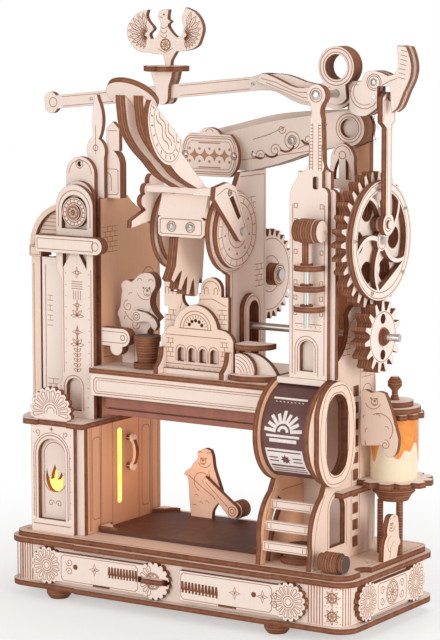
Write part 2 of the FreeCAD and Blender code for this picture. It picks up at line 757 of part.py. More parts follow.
def left_tower_walls():
    """Inner, outer and back walls of the left tower."""
    xi, xo = -LEFT_IN - PLY, LAYER_X
    y0 = -TOWER_Y + PLY
    inner = outline("YZ", (y0, Z_LEFT), (BACK_Y, Z_LEFT), (BACK_Y, LEFT_SHOULDER - 10),
                    ((16, LEFT_SHOULDER - 8), (4, LEFT_SHOULDER)), (y0, LEFT_SHOULDER))
    low = WINDOW_Z - 27
    walls = [plate("YZ", xi, inner),
             plate("YZ", xo, box_wire("YZ", y0, Z_LEFT, BACK_Y, low)),
             plate("XZ", BACK_Y - PLY, box_wire("XZ", xo + PLY, Z_LEFT, xi, low))]
    return group(*walls)


def left_spire():
    """Slim spire beside the crown of the left tower, standing on the shoulder of its inner wall."""
    z = LEFT_CROWN_TOP
    low = LEFT_SHOULDER - z
    wire = placed("XZ", WINDOW_X + 9, z, (-6, low), (5, low), (5, 0), ((4.5, 7), (1.5, 10)),
                  ((4, 20), (1.4, 31)), (0.3, 34), (-1.2, 34), ((-2.6, 22), (-2.4, 11)), ((-6, 7), (-6, 0)))
    return plate("XZ", -TOWER_Y + 2 * PLY, wire)


def left_belfry():
    """Laminated shoulder block with a small square turret, on the left tower's inner wall."""
    y = -TOWER_Y + 3 * PLY
    body = placed("XZ", -LEFT_IN, LEFT_SHOULDER, (-9, 0), (9, 0), (9, 18), ((6, 25), (0, 28)), (-9, 28))
    turret = placed("XZ", -LEFT_IN, LEFT_SHOULDER + 26, (0, 0), (8.5, 0), (8.5, 12), (4.3, 16), (0, 12))
    return fused(plate("XZ", y, body, thick=2 * PLY), plate("XZ", y, turret))


def arch_post():
    """Outer post of the left tower with its capital, and the panelled quarter arch above it."""
    top = WINDOW_Z - 26
    y0, y1 = -TOWER_Y, -TOWER_Y + 8
    post = block(ARCH_X + 1, y0, Z_LEFT, ARCH_X + 1 + 2 * PLY, y1, top)
    cap = block(ARCH_X, y0 - 1, top, ARCH_X + 2 + 2 * PLY, y1 + 1, top + 6)
    r = 24.0

    k = math.sqrt(0.5)
    inner = r - PLY
    roof = placed("XZ", ARCH_X + r, top + 6, (-r, 0), ((-r * k, r * k), (-3, r)), (-3, inner),
                  ((-inner * k, inner * k), (-inner, 0)))
    edge = r - 1
    panel = placed("XZ", ARCH_X + r, top + 6, (-edge, 0), ((-edge * k, edge * k), (-3, edge)), (-3, 0))
    return fused(post, cap, plate("XZ", y0, roof, thick=y1 - y0), plate("XZ", y0 + PLY, panel))


# Middle wall, beam and name plate

def side_gear_centre():
    """Axis of the side gear, a gear distance away from the drive shaft."""
    distance = SIDE_MODULE * (SIDE_TEETH + SIDE_PINION_TEETH) / 2
    angle = math.radians(SIDE_ANGLE)
    return distance * math.cos(angle), Z_DRIVE + distance * math.sin(angle)


DOOR_Y = 1.5
DOOR_HALF = 4.8
WALL_BACK = 18.5


def middle_wall():
    """Tall wall beside the drum: arched opening below, a lobe for the drum's axle above."""
    top = Z_WALL
    front = DRUM_Y + 3.0
    low = Z_DRUM - DRUM_R - 2
    lobe = 9.0
    wire = outline("YZ", (front, Z_STAGE), (front, low),
                   ((DRUM_Y - lobe, Z_DRUM), (front, Z_DRUM + lobe + 4)), (-8, top), (WALL_BACK, top),
                   (WALL_BACK, Z_STAGE))
    door = arch("YZ", DOOR_Y, Z_STAGE + PLY, Z_DRIVE + 13.5, DOOR_HALF)
    return plate("YZ", WALL_X, wire, door, circle("YZ", DRUM_Y, Z_DRUM, SHAFT_R))


def door_frame():
    """Raised arched frame round the opening that the drive shaft passes through."""
    outer = arch("YZ", DOOR_Y - 1, Z_STAGE, Z_DRIVE + 17.5, DOOR_HALF + 4.2)
    door = arch("YZ", DOOR_Y, Z_STAGE + PLY, Z_DRIVE + 13.5, DOOR_HALF)
    return plate("YZ", WALL_X + PLY, outer, door)


def side_bracket():
    """Bracket behind the side gear, from the stage up to its axle."""
    y, z = side_gear_centre()
    wire = outline("YZ", (y - 10, Z_STAGE), (y - 1, Z_STAGE), (y - 1, z - 12), ((y + 4.5, z - 4), (y, z + 5)),
                   (y - 10, z + 2))
    return plate("YZ", WALL_X - 2 * PLY - 1.2, wire, circle("YZ", y, z, SHAFT_R))


BEAM_Y = 2.6
BEAM_T = 12.0
BEAM_DROP = 18.5
BEAM_END_R = 9.5


def beam_wire(lift):
    """Side of the great beam: deep at the wall, tapering to a round right end; lift raises its back."""
    z = Z_WALL
    x1, zc, r = PIVOT_X + 2, PIVOT_Z - BEAM_DROP, BEAM_END_R
    low = [(36, z + 4.5), (x1 - 21, zc - r - 3.5), (x1 - 2, zc - r)]
    high = [(x1 - 24, zc + r - 3.5 + lift * 0.6), (30, z + 27 + lift), (5, z + 21 + lift),
            (-12, z + 16.5 + lift), (-24, z + 13)]
    return outline("XZ", (-24, z + 6), ((-10, z + 1), (8, z)), (18, z), low,
                   ((x1 + r, zc), (x1 - 2, zc + r)), high)


def great_beam():
    """Box beam between the middle wall and the right tower: two sides and a curved web."""
    eye = circle("XZ", PIVOT_X + 2, PIVOT_Z - BEAM_DROP, 5.0)
    front = plate("XZ", BEAM_Y, beam_wire(0), eye)
    back = plate("XZ", BEAM_Y + BEAM_T - PLY, beam_wire(3.5))
    web = plate("XZ", BEAM_Y + PLY, beam_wire(0), thick=BEAM_T - 2 * PLY)
    room = block(-20, BEAM_Y, Z_WALL - 12.7, PIVOT_X - 15, BEAM_Y + BEAM_T, PIVOT_Z - BEAM_DROP + 2.5)
    return group(front, back, web.cut(room))


def name_plate():
    """Oval board with a small crest, on the left end of the great beam."""
    x, z = -4.0, Z_WALL + 8.0
    half, tall, bow = 18.5, 11.5, 5.5
    wire = placed("XZ", x, z, (bow - half, -tall), (half - bow, -tall), ((half, 0), (half - bow, tall)),
                  (7, tall), ((0, tall + 3.5), (-7, tall)), (bow - half, tall),
                  ((-half, 0), (bow - half, -tall)))
    board = plate("XZ", BEAM_Y - 2 * PLY, wire)
    spacer = block(x - 8, BEAM_Y - PLY, z - 4, x + 8, BEAM_Y, z + 4)
    return fused(board, spacer)


# Ink drum with its arms, on an axle of its own in the middle wall

def drum_discs():
    """Stepped round cheeks of the ink drum."""
    bore = circle("YZ", DRUM_Y, Z_DRUM, BORE)
    wide = circle("YZ", DRUM_Y, Z_DRUM, DRUM_R)
    step = circle("YZ", DRUM_Y, Z_DRUM, DRUM_R - 2.5)
    left = fused(plate("YZ", DRUM_LEFT, wide, bore), plate("YZ", DRUM_LEFT + PLY, step, bore))
    right = fused(plate("YZ", DRUM_RIGHT - 2 * PLY, wide, bore), plate("YZ", DRUM_RIGHT - PLY, step, bore))
    return group(left, right)


def drum_cover():
    """Front board of the drum between its cheeks, and the sloping board above it."""
    x0, x1 = DRUM_LEFT + 2 * PLY, DRUM_RIGHT - 2 * PLY
    y = DRUM_Y - DRUM_R - 1
    z = Z_DRUM + 3
    ends = 1.5
    wire = outline("XZ", (x0 + ends, z - 5.5), (x1 - ends, z - 5.5), (x1, z - 4), (x1, z + 4),
                   (x1 - ends, z + 5.5), (x0 + ends, z + 5.5), (x0, z + 4), (x0, z - 4))
    board = plate("XZ", y, wire)
    lean = 20.0
    rise = Z_DRUM + CROSS_Z - (z + 5.5) - PLY * math.sin(math.radians(lean))
    slope = Part.makeBox(x1 - x0, PLY, rise / math.cos(math.radians(lean)), Vector(x0, y, z + 5.5))
    slope.rotate(Vector(x0, y, z + 5.5), Vector(1, 0, 0), -lean)
    return fused(board, slope)


def claw_sector():
    """Clawed sector under the drum: a hub, a sloping neck and four fingers that reach over the hall."""
    def spot(radius, degrees):
        angle = math.radians(degrees)
        return (DRUM_Y + radius * math.cos(angle), Z_DRUM + radius * math.sin(angle))

    tip, gap, root = CLAW_R, CLAW_R - 9.5, 7.0
    first, pitch = -138.0, 13.5
    steps = []
    for k in range(4):
        a = first + k * pitch
        steps += [spot(tip, a + 1), spot(tip - 0.5, a + 5.5), spot(gap + 2, a + 7.5), spot(gap, a + 10)]
    steps += [spot(gap + 3, first + 4 * pitch), spot(root, -30), (spot(root, 40), spot(root, 120))]
    wire = outline("YZ", spot(tip - 8, first - 3), *steps, spot(CLAW_R * 0.55, 190))
    return plate("YZ", CLAW_X, wire, circle("YZ", DRUM_Y, Z_DRUM, BORE), thick=2 * PLY)


def drum_links():
    """Slotted link on the right of the drum and the scalloped one on its left."""
    bore = circle("YZ", DRUM_Y, Z_DRUM, BORE)
    y, z = DRUM_Y, Z_DRUM
    right = placed("YZ", y, z, (-4.5, -3), ((2, -5.2), (4.6, 3)), (-6, 24), (-14, 27), (-26, 25), (-27, 19))
    slot = placed("YZ", y, z, (-9, 19.5), (-12.5, 18.5), (-4, 6.5), (-1.5, 8))
    left = placed("YZ", y, z, (-4.5, -3), ((2, -5.2), (4.6, 3)), (-8, 23), (-12, 28), (-17, 29.5),
                  ((-21.5, 29), (-22.5, 25)), ((-26.5, 24), (-26.5, 19.5)), ((-30, 17), (-27.5, 12.5)),
                  (-26, 11), (-39, 6.5), (-39.5, 2.5), (-22, 5))
    return group(plate("YZ", DRUM_RIGHT, right, slot, bore), plate("YZ", DRUM_LEFT - PLY, left, bore))


CROSS_Z = 21.0
CROSS_Y = DRUM_Y - 26.0


def cross_bar():
    """Bar across the top of the drum that ties its links together."""
    z = Z_DRUM + CROSS_Z
    return block(DRUM_LEFT, CROSS_Y, z, DRUM_RIGHT, CROSS_Y + 9, z + PLY)


ARM_X = (0.0, 11.0)
HEAD_Y = -74.5
HEAD_Z = 73.0
HEAD_LEAN = 52.0


def head_face(shape):
    """Carry a piece drawn about the middle of the head's rear face to the top of the arms."""
    shape.rotate(Vector(0, 0, 0), Vector(1, 0, 0), HEAD_LEAN)
    shape.translate(Vector((ARM_X[0] + ARM_X[1]) / 2 + PLY, DRUM_Y + HEAD_Y, Z_DRUM + HEAD_Z))
    return shape


def beyond_head():
    """Room that the head plate lies in, for trimming what ends against it."""
    return head_face(Part.makeCylinder(3 * HEAD_R, 4 * HEAD_R, Vector(0, 0, 0), Vector(0, 1, 0)))


def ink_arms():
    """Pair of laminated S-curved arms that lean out over the front and end at the head."""
    seat = CROSS_Z + PLY
    front = [(-42.5, 31), (-54, 39.5), (-62, 45), (-69.5, 52), (-74, 59), (-76.4, 71)]
    back = [(-62, 62), (-54, 53), (-42, 44), (-30, 34), (-18, seat)]
    wire = placed("YZ", DRUM_Y, Z_DRUM, (CROSS_Y - DRUM_Y, seat), front, (-76.4, 90), (-66, 90), back)
    return group(*[plate("YZ", x, wire, thick=2 * PLY).cut(beyond_head()) for x in ARM_X])


def ink_head():
    """Round head plate that lies across the tops of the arms."""
    return head_face(Part.makeCylinder(HEAD_R, PLY, Vector(0, 0, 0), Vector(0, 1, 0)))


def side_plaque():
    """Oval plaque on the right flank of the arms, long way along their lean."""
    long, short, lean = 20.0, 14.0, math.radians(30)
    centre = Vector(ARM_X[1] + 2 * PLY, DRUM_Y - 61.0, Z_DRUM + 57.0)
    along = Vector(0, -math.sin(lean), math.cos(lean))
    curve = Part.Ellipse(centre + along * long, centre + NORMAL["YZ"].cross(along) * short, centre)
    face = Part.makeFace([Part.Wire([curve.toShape()])], "Part::FaceMakerBullseye")
    return face.extrude(NORMAL["YZ"] * PLY).cut(beyond_head())


# Shafts, gears and flywheel

def main_shaft():
    """Steel shaft of the flywheel, from the inner wall of the right tower outward."""
    return rod("YZ", 0, Z_MAIN, TOWER_IN - 1, WHEEL_X + WHEEL_T + PLY + 2.5)


def drive_shaft():
    """Lower steel shaft, turned by hand at its right end."""
    return rod("YZ", 0, Z_DRIVE, BEARING_X - 1.0, PINION_X + PINION_T + 10)


CAM_X = -2.0
BEARING_X = -24.0


def press_cam():
    """Eccentric on the drive shaft that pushes the platen's yoke down."""
    wire = circle("YZ", 0, Z_DRIVE + CAM_OFFSET, CAM_R)
    return plate("YZ", CAM_X - PLY, wire, circle("YZ", 0, Z_DRIVE, SHAFT_R), thick=2 * PLY)


def cam_bearing():
    """Small stand that carries the left end of the drive shaft."""
    wire = outline("YZ", (-9, Z_STAGE), (9, Z_STAGE), (7, Z_DRIVE), ((0, Z_DRIVE + 7), (-7, Z_DRIVE)))
    return plate("YZ", BEARING_X, wire, circle("YZ", 0, Z_DRIVE, BORE))


def big_gear():
    """Laminated 30-tooth wheel on the main shaft, lightened by round holes."""
    wire = gear_wire("YZ", 0, Z_MAIN, WHEEL_TEETH, MODULE, -90 + 180.0 / WHEEL_TEETH)
    holes = [circle("YZ", 19 * math.cos(math.radians(a)), Z_MAIN + 19 * math.sin(math.radians(a)), 6.0)
             for a in range(0, 360, 60)]
    return plate("YZ", WHEEL_X, wire, circle("YZ", 0, Z_MAIN, SHAFT_R), *holes, thick=WHEEL_T)


def pinion():
    """Laminated 15-tooth pinion on the drive shaft."""
    wire = gear_wire("YZ", 0, Z_DRIVE, PINION_TEETH, MODULE, 90)
    holes = [circle("YZ", 0, Z_DRIVE + s * 9.5, 2.6) for s in (-1, 1)]
    return plate("YZ", PINION_X, wire, circle("YZ", 0, Z_DRIVE, SHAFT_R), *holes, thick=PINION_T)


def flywheel():
    """Five-spoke flywheel with curved spokes, a counterweight crescent and the crank pin."""
    rim, hub, spokes = FLYWHEEL_R - 5.5, 5.5, 5
    x = WHEEL_X + WHEEL_T + 1.0

    def polar(radius, degrees):
        angle = math.radians(degrees)
        return (radius * math.cos(angle), Z_MAIN + radius * math.sin(angle))

    pitch = 360 / spokes
    bend = rim * 0.55
    twist = 22.0

    def half_angle(radius):
        return math.degrees(SPOKE / 2 / radius)

    holes = []
    for k in range(spokes):
        a = 96 + k * pitch
        low, mid, far = half_angle(hub), half_angle(bend), half_angle(rim)
        deep = rim - (4.0 if k == 2 else 0.0)
        holes.append(outline(
            "YZ", polar(hub, a + low), (polar(hub, a + pitch / 2), polar(hub, a + pitch - low)),
            (polar(bend, a + pitch - mid + twist * 0.15), polar(rim, a + pitch + twist - far)),
            (polar(deep, a + pitch / 2 + twist), polar(rim, a + twist + far)),
            (polar(bend, a + mid + twist * 0.15), polar(hub, a + low))))
    wheel = plate("YZ", x, circle("YZ", 0, Z_MAIN, FLYWHEEL_R), *holes, circle("YZ", 0, Z_MAIN, SHAFT_R))
    hole = rod("YZ", LEVER_Y, crank_z(), x, x + PLY, PIN_R)
    carrier = rod("YZ", LEVER_Y, crank_z(), x, x + PLY, 4.0)
    return fused(wheel, carrier).cut(hole)


def crank_z():
    """Height of the crank pin at rest."""
    return Z_MAIN + math.sqrt(CRANK_R ** 2 - LEVER_Y ** 2)


def crank_pin():
    """Steel pin in the flywheel that the pitman's eye rides on."""
    x = WHEEL_X + WHEEL_T + 1.0
    return rod("YZ", LEVER_Y, crank_z(), x, PITMAN_X - 0.4, PIN_R)


def side_gear():
    """Gear behind the back edge of the middle wall, with its laminated hub."""
    y, z = side_gear_centre()
    x = WALL_X - PLY - 0.5
    wire = gear_wire("YZ", y, z, SIDE_TEETH, SIDE_MODULE, SIDE_ANGLE + 180)
    hub = plate("YZ", x + PLY, circle("YZ", y, z, 6.1), circle("YZ", y, z, BORE), thick=2 * PLY)
    return fused(plate("YZ", x, wire, circle("YZ", y, z, BORE)), hub)


def side_axle():
    """Stub axle of the side gear, held in its bracket, with a head over the hub."""
    y, z = side_gear_centre()
    x = WALL_X - PLY - 0.5
    stub = rod("YZ", y, z, x - PLY - 0.7, x + 3 * PLY + GAP)
    head = rod("YZ", y, z, x + 3 * PLY + GAP, x + 3 * PLY + GAP + 1.2, 3.0)
    return fused(stub, head)


def drum_axle():
    """Steel axle of the drum, held in the middle wall."""
    return rod("YZ", DRUM_Y, Z_DRUM, DRUM_LEFT - PLY - 1, DRUM_RIGHT + PLY + 1.5)


def side_pinion():
    """Small pinion on the drive shaft that turns the side gear."""
    half_tooth = 180.0 / SIDE_PINION_TEETH
    wire = gear_wire("YZ", 0, Z_DRIVE, SIDE_PINION_TEETH, SIDE_MODULE, SIDE_ANGLE + half_tooth)
    return plate("YZ", WALL_X - PLY - 0.5, wire, circle("YZ", 0, Z_DRIVE, SHAFT_R))


# Right pedestal: poster drum, ladder and walls

def rail_front():
    """Front edge shared by the two ladder frames, from the foot up round the poster drum."""
    foot = Z_FLOOR
    k = math.sqrt(0.5)
    low = math.radians(34)
    under = (POSTER_Y - POSTER_R * math.cos(low), POSTER_Z - POSTER_R * math.sin(low))
    over = (POSTER_Y - POSTER_R * k, POSTER_Z + POSTER_R * k)
    return [(-BASE_D / 2 + 4, foot), (-BASE_D / 2 + 5.5, foot + 10),
            ((-BASE_D / 2 + 5.5, foot + 22), (-34, POSTER_Z - 32)), (-30.5, POSTER_Z - 26),
            (under, (POSTER_Y - POSTER_R, POSTER_Z)), (over, (POSTER_Y, POSTER_Z + POSTER_R))]


def poster_opening():
    """Oval opening through the outer frame beside the poster drum."""
    y, z = POSTER_Y - 4.0, POSTER_Z
    return outline("YZ", (y - 11, z - 12), ((y, z - 21.5), (y + 11, z - 12)), (y + 11, z + 12),
                   ((y, z + 21.5), (y - 11, z + 12)))


def right_inner_wall():
    """Wall between the cavity and the right pedestal, shaped as a ladder frame in front."""
    start, *steps = rail_front()
    top = POSTER_Z + POSTER_R
    foot_cut = outline("YZ", start, *steps, (POSTER_Y + 12, top), (POSTER_Y + 12, Z_RIGHT), (BACK_Y, Z_RIGHT),
                       (BACK_Y, Z_FLOOR), (-36, Z_FLOOR), ((-30, Z_FLOOR + 18), (-22, Z_FLOOR + 30)),
                       (-28, Z_FLOOR + 34), ((-35, Z_FLOOR + 20), (-41, Z_FLOOR)))
    return plate("YZ", RIGHT_IN, foot_cut)


def hump():
    """Top edge of the outer wall where it rises round the drive shaft, from the front to the back."""
    return [(-TOWER_Y + 6, Z_DRIVE - 12), ((-12, Z_DRIVE - 6), (-9, Z_DRIVE + 11)),
            ((0, Z_DRIVE + 16), (10, Z_DRIVE + 9)), (20, Z_DRIVE - 6)]


TAB_PITCH = 12.0


def tab_heights():
    """Middle heights of the partition's tabs through the outer wall."""
    low, high = Z_FLOOR + 8, POSTER_Z + 20
    count = int((high - low) / TAB_PITCH)
    return [low + k * TAB_PITCH for k in range(count + 1)]


def right_outer_wall():
    """Outer wall of the right pedestal: ladder frame, poster opening, slots and the shaft bracket."""
    start, *steps = rail_front()
    top = POSTER_Z + POSTER_R
    y1 = 21.5
    wire = outline("YZ", start, *steps, (POSTER_Y + 1.5, top), (POSTER_Y + 1.5, Z_STAGE + 15), *hump(),
                   (y1, Z_DRIVE - 30), (y1, Z_FLOOR), (-36, Z_FLOOR),
                   ((-30, Z_FLOOR + 3), (-36, Z_FLOOR + 6)), (-41, Z_FLOOR))
    door = arch("YZ", -19, Z_FLOOR + 9, Z_FLOOR + 36, 8.0)
    slots = [box_wire("YZ", -PLY / 2, z - TAB_PITCH / 4, PLY / 2, z + TAB_PITCH / 4) for z in tab_heights()]
    return plate("YZ", RIGHT_OUT - PLY, wire, poster_opening(), door, circle("YZ", 0, Z_DRIVE, BORE), *slots)


def partition():
    """Cross wall of the right pedestal with tabs that show in the outer wall's slots."""
    x0, x1 = RIGHT_IN + PLY, RIGHT_OUT - PLY
    body = block(x0, -PLY / 2, Z_FLOOR, x1, PLY / 2, Z_RIGHT)
    tabs = [block(x1, -PLY / 2, z - TAB_PITCH / 4, RIGHT_OUT, PLY / 2, z + TAB_PITCH / 4)
            for z in tab_heights()]
    back = block(x0, 18.5, Z_FLOOR, x1, 21.5, Z_RIGHT)
    return group(fused(body, *tabs), back)


def oval_ring():
    """Raised oval frame on the outer wall round the poster opening."""
    y, z = POSTER_Y - 4.0, POSTER_Z
    outer = outline("YZ", (y - 19, z - 12), ((y, z - 28), (y + 19, z - 12)), (y + 19, z + 12),
                    ((y, z + 28), (y - 19, z + 12)))
    return plate("YZ", RIGHT_OUT, outer, poster_opening())


def poster_sheet():
    """Thin printed sheet bent round the front of the poster drum."""
    r1 = POSTER_R - 3.0
    r0 = r1 - 1.0

    def polar(radius, degrees):
        angle = math.radians(degrees)
        return (POSTER_Y + radius * math.cos(angle), POSTER_Z + radius * math.sin(angle))

    wire = outline("YZ", polar(r1, 100), (polar(r1, 175), polar(r1, 250)), polar(r0, 250),
                   (polar(r0, 175), polar(r0, 100)))
    return plate("YZ", RIGHT_IN + PLY, wire, thick=RIGHT_OUT - RIGHT_IN - 2 * PLY)


def poster_battens():
    """Wooden battens above and below the poster sheet."""
    x0, x1 = RIGHT_IN + PLY, RIGHT_OUT - PLY
    r = POSTER_R - 7.3
    pieces = []
    for degrees in (100, 250):
        angle = math.radians(degrees)
        y, z = POSTER_Y + r * math.cos(angle), POSTER_Z + r * math.sin(angle)
        pieces.append(block(x0, y - 4.0, z - PLY / 2, x1, y + 4.0, z + PLY / 2))
    return group(*pieces)


def ladder_rungs():
    """Three steps of the ladder and the arched board above them."""
    x0, x1 = RIGHT_IN + PLY, RIGHT_OUT - PLY
    spots = [(-35.5, Z_FLOOR + 31), (-41.0, Z_FLOOR + 20.5), (-43.5, Z_FLOOR + 10)]
    rungs = [block(x0, y, z - 2.5, x1, y + PLY, z + 2.5) for y, z in spots]
    return group(*rungs)


def disc_stack():
    """Stack of dark discs between the ladder frames."""
    z = Z_FLOOR
    profile = [(0, z), (11, z), (11, z + PLY), (9.8, z + PLY), (9.8, z + 2 * PLY), (8.6, z + 2 * PLY),
               (8.6, z + 3 * PLY), (0, z + 3 * PLY)]
    return turned((RIGHT_IN + RIGHT_OUT) / 2, -27.0, profile)


def deck_barrel():
    """Laminated barrel that lies on the deck in front of the right wall."""
    x, z = RIGHT_OUT + 3.5, Z_FLOOR + 5.6
    radii = (4.6, 5.6, 5.6, 5.6, 4.6)
    return fused(*[rod("YZ", -42.0, z, x + k * PLY, x + (k + 1) * PLY, r) for k, r in enumerate(radii)])


def pedestal_top():
    """Top plate of the right pedestal that the tower stands on."""
    y1 = 21.5
    return block(RIGHT_IN - 2, POSTER_Y + 12 + 0.2, Z_RIGHT, RIGHT_OUT - PLY, y1, Z_RIGHT + PLY)


def tower_foot():
    """Moulded front step of the right tower over the poster drum."""
    z = POSTER_Z + POSTER_R
    return block(RIGHT_IN + PLY, POSTER_Y - 9, z - PLY, RIGHT_OUT - PLY, POSTER_Y + 12, z)


# Right tower

def spire_steps(foot, waist, neck, head, crown):
    """Spire of the right tower, from its right foot over the top and down to its left foot.

    The half widths foot, waist, neck and head are measured from the lever's pivot; crown is the rise
    above it.
    """
    rise = PIVOT_Z - RIGHT_SHOULDER
    right = [(foot, 12), ((waist + 0.8, 14), (waist, 18)), (waist - 0.8, rise - 12)]
    return [*right, ((neck, rise - 8), (head, rise - 4)), ((0, rise + crown), (-head, rise - 4)),
            ((-neck, rise - 8), (0.8 - waist, rise - 12)), (-waist, 18)]


def right_tower_front():
    """Front of the right tower: tall panel with shoulders and a slim spire for the lever."""
    x0, x1 = TOWER_IN - PIVOT_X, RIGHT_OUT - 1.5 - PIVOT_X
    z0 = POSTER_Z + POSTER_R - RIGHT_SHOULDER
    wire = placed("XZ", PIVOT_X, RIGHT_SHOULDER, (x0, z0), (x1, z0), (x1, 0),
                  ((x1 - 1, 3), (x1 - 3.5, 4)),
                  *spire_steps(x1 - 3.5, 4.2, 2.6, 3.9, 5.6), ((-5, 14), (x0 + 5, 12)), (x0 + 5, 9),
                  ((x0 + 1.5, 4), (x0, -5)))
    niche = arch("XZ", TOWER_IN + 10.5, POSTER_Z + POSTER_R + 4, POSTER_Z + POSTER_R + 20, 4.0)
    slot = box_wire("XZ", PIVOT_X - 1.6, RIGHT_SHOULDER + 3, PIVOT_X + 1.6, RIGHT_SHOULDER + 9.5, 1.2)
    return plate("XZ", -TOWER_Y - PLY, wire, niche, slot, circle("XZ", PIVOT_X, PIVOT_Z, SHAFT_R))


def right_tower_layer():
    """Second layer behind the front of the right tower."""
    x0, x1 = TOWER_IN + PLY - PIVOT_X, RIGHT_OUT + 1.5 - PIVOT_X
    z0 = POSTER_Z + POSTER_R - RIGHT_SHOULDER
    wire = placed("XZ", PIVOT_X, RIGHT_SHOULDER, (x0, z0), (x1, z0), (x1, 0),
                  ((x1 - 1, 2.5), (x1 - 3, 3)),
                  *spire_steps(x1 - 3, 3.4, 2.1, 3.4, 5.0), ((-4, 12), (x0, 8)))
    return plate("XZ", -TOWER_Y, wire, circle("XZ", PIVOT_X, PIVOT_Z, SHAFT_R))


def right_tower_walls():
    """Inner and back walls of the right tower; the inner one carries the two gear shafts."""
    z0 = Z_RIGHT + PLY
    y0, y1 = -TOWER_Y + PLY, 21.5
    top = Z_MAIN + 22
    y_low = POSTER_Y + 12 + 0.2
    inner = outline("YZ", (y_low, z0), (y1, z0), (y1, top), (y0, top), (y0, z0 + 12), (y_low, z0 + 4))
    wall = plate("YZ", TOWER_IN, inner, circle("YZ", 0, Z_MAIN, BORE), circle("YZ", 0, Z_DRIVE, BORE))
    back = plate("XZ", y1 - PLY, box_wire("XZ", TOWER_IN + PLY, z0, RIGHT_OUT - PLY, top + 4))
    return group(wall, back)


def rear_post():
    """Post behind the great beam that carries the back end of the lever's pivot."""
    y = BEAM_Y + BEAM_T
    z0 = Z_MAIN + 12
    low = z0 - PIVOT_Z
    wire = placed("XZ", PIVOT_X, PIVOT_Z, (-7, low), (8, low), (8, -22), (5.5, -8),
                  ((0, 5.5), (-5.5, -8)), (-7, -22))
    return plate("XZ", y, wire, circle("XZ", PIVOT_X, PIVOT_Z, SHAFT_R), thick=21.5 - PLY - y)


def beam_arch():
    """Arched panel with two leaf slots under the right end of the great beam."""
    z0 = Z_MAIN + 26
    wire = placed("XZ", PIVOT_X, z0, (-8, 0), (8, 0), (7, 14), ((4, 22), (0, 24)), ((-4, 22), (-7, 14)))
    leaves = [placed("XZ", PIVOT_X, z0, (2.2, 5), (5.2, 5), ((4.2, 12), (2.0, 16)), wide=s)
              for s in (-1, 1)]
    return plate("XZ", BEAM_Y - PLY, wire, *leaves)


SHELF_DROPS = (39.0, 49.7, 60.4)
SHELF_Z = [RIGHT_SHOULDER - drop for drop in SHELF_DROPS]
SHELF_X = TOWER_IN + 14.0
SHELF_Y = -TOWER_Y - PLY - 6.0


def roller_grip():
    """Laminated grip on a stem, on the front of the right tower."""
    z = RIGHT_SHOULDER - 18
    radii = (5.8, 6.4, 6.4, 6.4, 5.8)
    x = SHELF_X - 5.5
    discs = [rod("YZ", SHELF_Y - 0.8, z, x + k * PLY, x + (k + 1) * PLY, r) for k, r in enumerate(radii)]
    stem = block(SHELF_X - 2, SHELF_Y - 1.5, SHELF_Z[0] + PLY, SHELF_X + 2, SHELF_Y + 1.5, z - 5)
    return fused(*discs, stem)


def tower_brackets():
    """Three small shelves on the right tower, bored for the steel pull rod."""
    back = -TOWER_Y - PLY
    shelves = []
    for z in SHELF_Z:
        wire = outline("XY", (SHELF_X - 8.5, back), (SHELF_X - 8.5, back - 4.5),
                       ((SHELF_X, SHELF_Y - 4.5), (SHELF_X + 7.5, back - 4.5)), (SHELF_X + 7.5, back))
        shelves.append(plate("XY", z, wire, circle("XY", SHELF_X, SHELF_Y, PIN_R)))
    return group(*shelves)


def pull_rod():
    """Thin steel rod through the three shelves."""
    return rod("XY", SHELF_X, SHELF_Y, SHELF_Z[-1] - 8, SHELF_Z[0] + PLY, PIN_R)


# Top lever with ring, elephant and eagle

def tilt(shape):
    """Turn a lever piece drawn level to the lever's resting slope about its pivot."""
    shape.rotate(Vector(PIVOT_X, 0, PIVOT_Z), Vector(0, 1, 0), -LEVER_SLOPE)
    return shape


def lever_bar():
    """Long bar of the top lever with a round left end."""
    h = LEVER_H / 2
    x0 = -LEVER_LEN
    wire = placed("XZ", PIVOT_X, PIVOT_Z + 9.0, (x0 + 8, -h), (-48, -h),
                  [(-38, -h - 1.5), (-24, -h - 9), (-6, -16)], ((0, -17), (6, -14)), (18, -14), (18, -4),
                  (6, -3), [(-14, -3), (-30, 3), (-44, h + 1), (-52, h)], (x0 + 8, h), ((x0 + 4, 6), (x0, 0)),
                  ((x0 + 4, -6), (x0 + 8, -h)))
    return tilt(plate("XZ", LEVER_Y - PLY / 2, wire, circle("XZ", PIVOT_X, PIVOT_Z, BORE)))


def lever_cheek(y):
    """Wavy cheek on one side of the lever that widens into the pivot boss."""
    wire = placed("XZ", PIVOT_X, PIVOT_Z + 9.0, (-48, 1),
                  [(-44, 5), (-36, 2), (-24, -4), (-12, -4), (-4, -1.5)], (6, -3), (6, -12),
                  ((0, -15), (-6, -12)), [(-18, -12), (-34, -5), (-48, 1)])
    return tilt(plate("XZ", y, wire, circle("XZ", PIVOT_X, PIVOT_Z, BORE)))


def lever_ring():
    """Thick laminated ring that stands on the lever over its pivot."""
    z = PIVOT_Z + RING_RISE
    outer, hole = (circle("XZ", PIVOT_X, z, r) for r in (RING_R, RING_HOLE_R))
    return plate("XZ", LEVER_Y - 1.5 * PLY, outer, hole, thick=3 * PLY)


def top_lever():
    """Bar, cheeks and ring, glued into one laminated lever."""
    eye = tilt(rod("XZ", PIVOT_X, PIVOT_Z, LEVER_Y - 2 * PLY, LEVER_Y + 2 * PLY, BORE))
    cheeks = [lever_cheek(y) for y in (LEVER_Y - 1.5 * PLY, LEVER_Y + PLY / 2)]
    return fused(lever_bar(), *cheeks, lever_ring()).cut(eye)


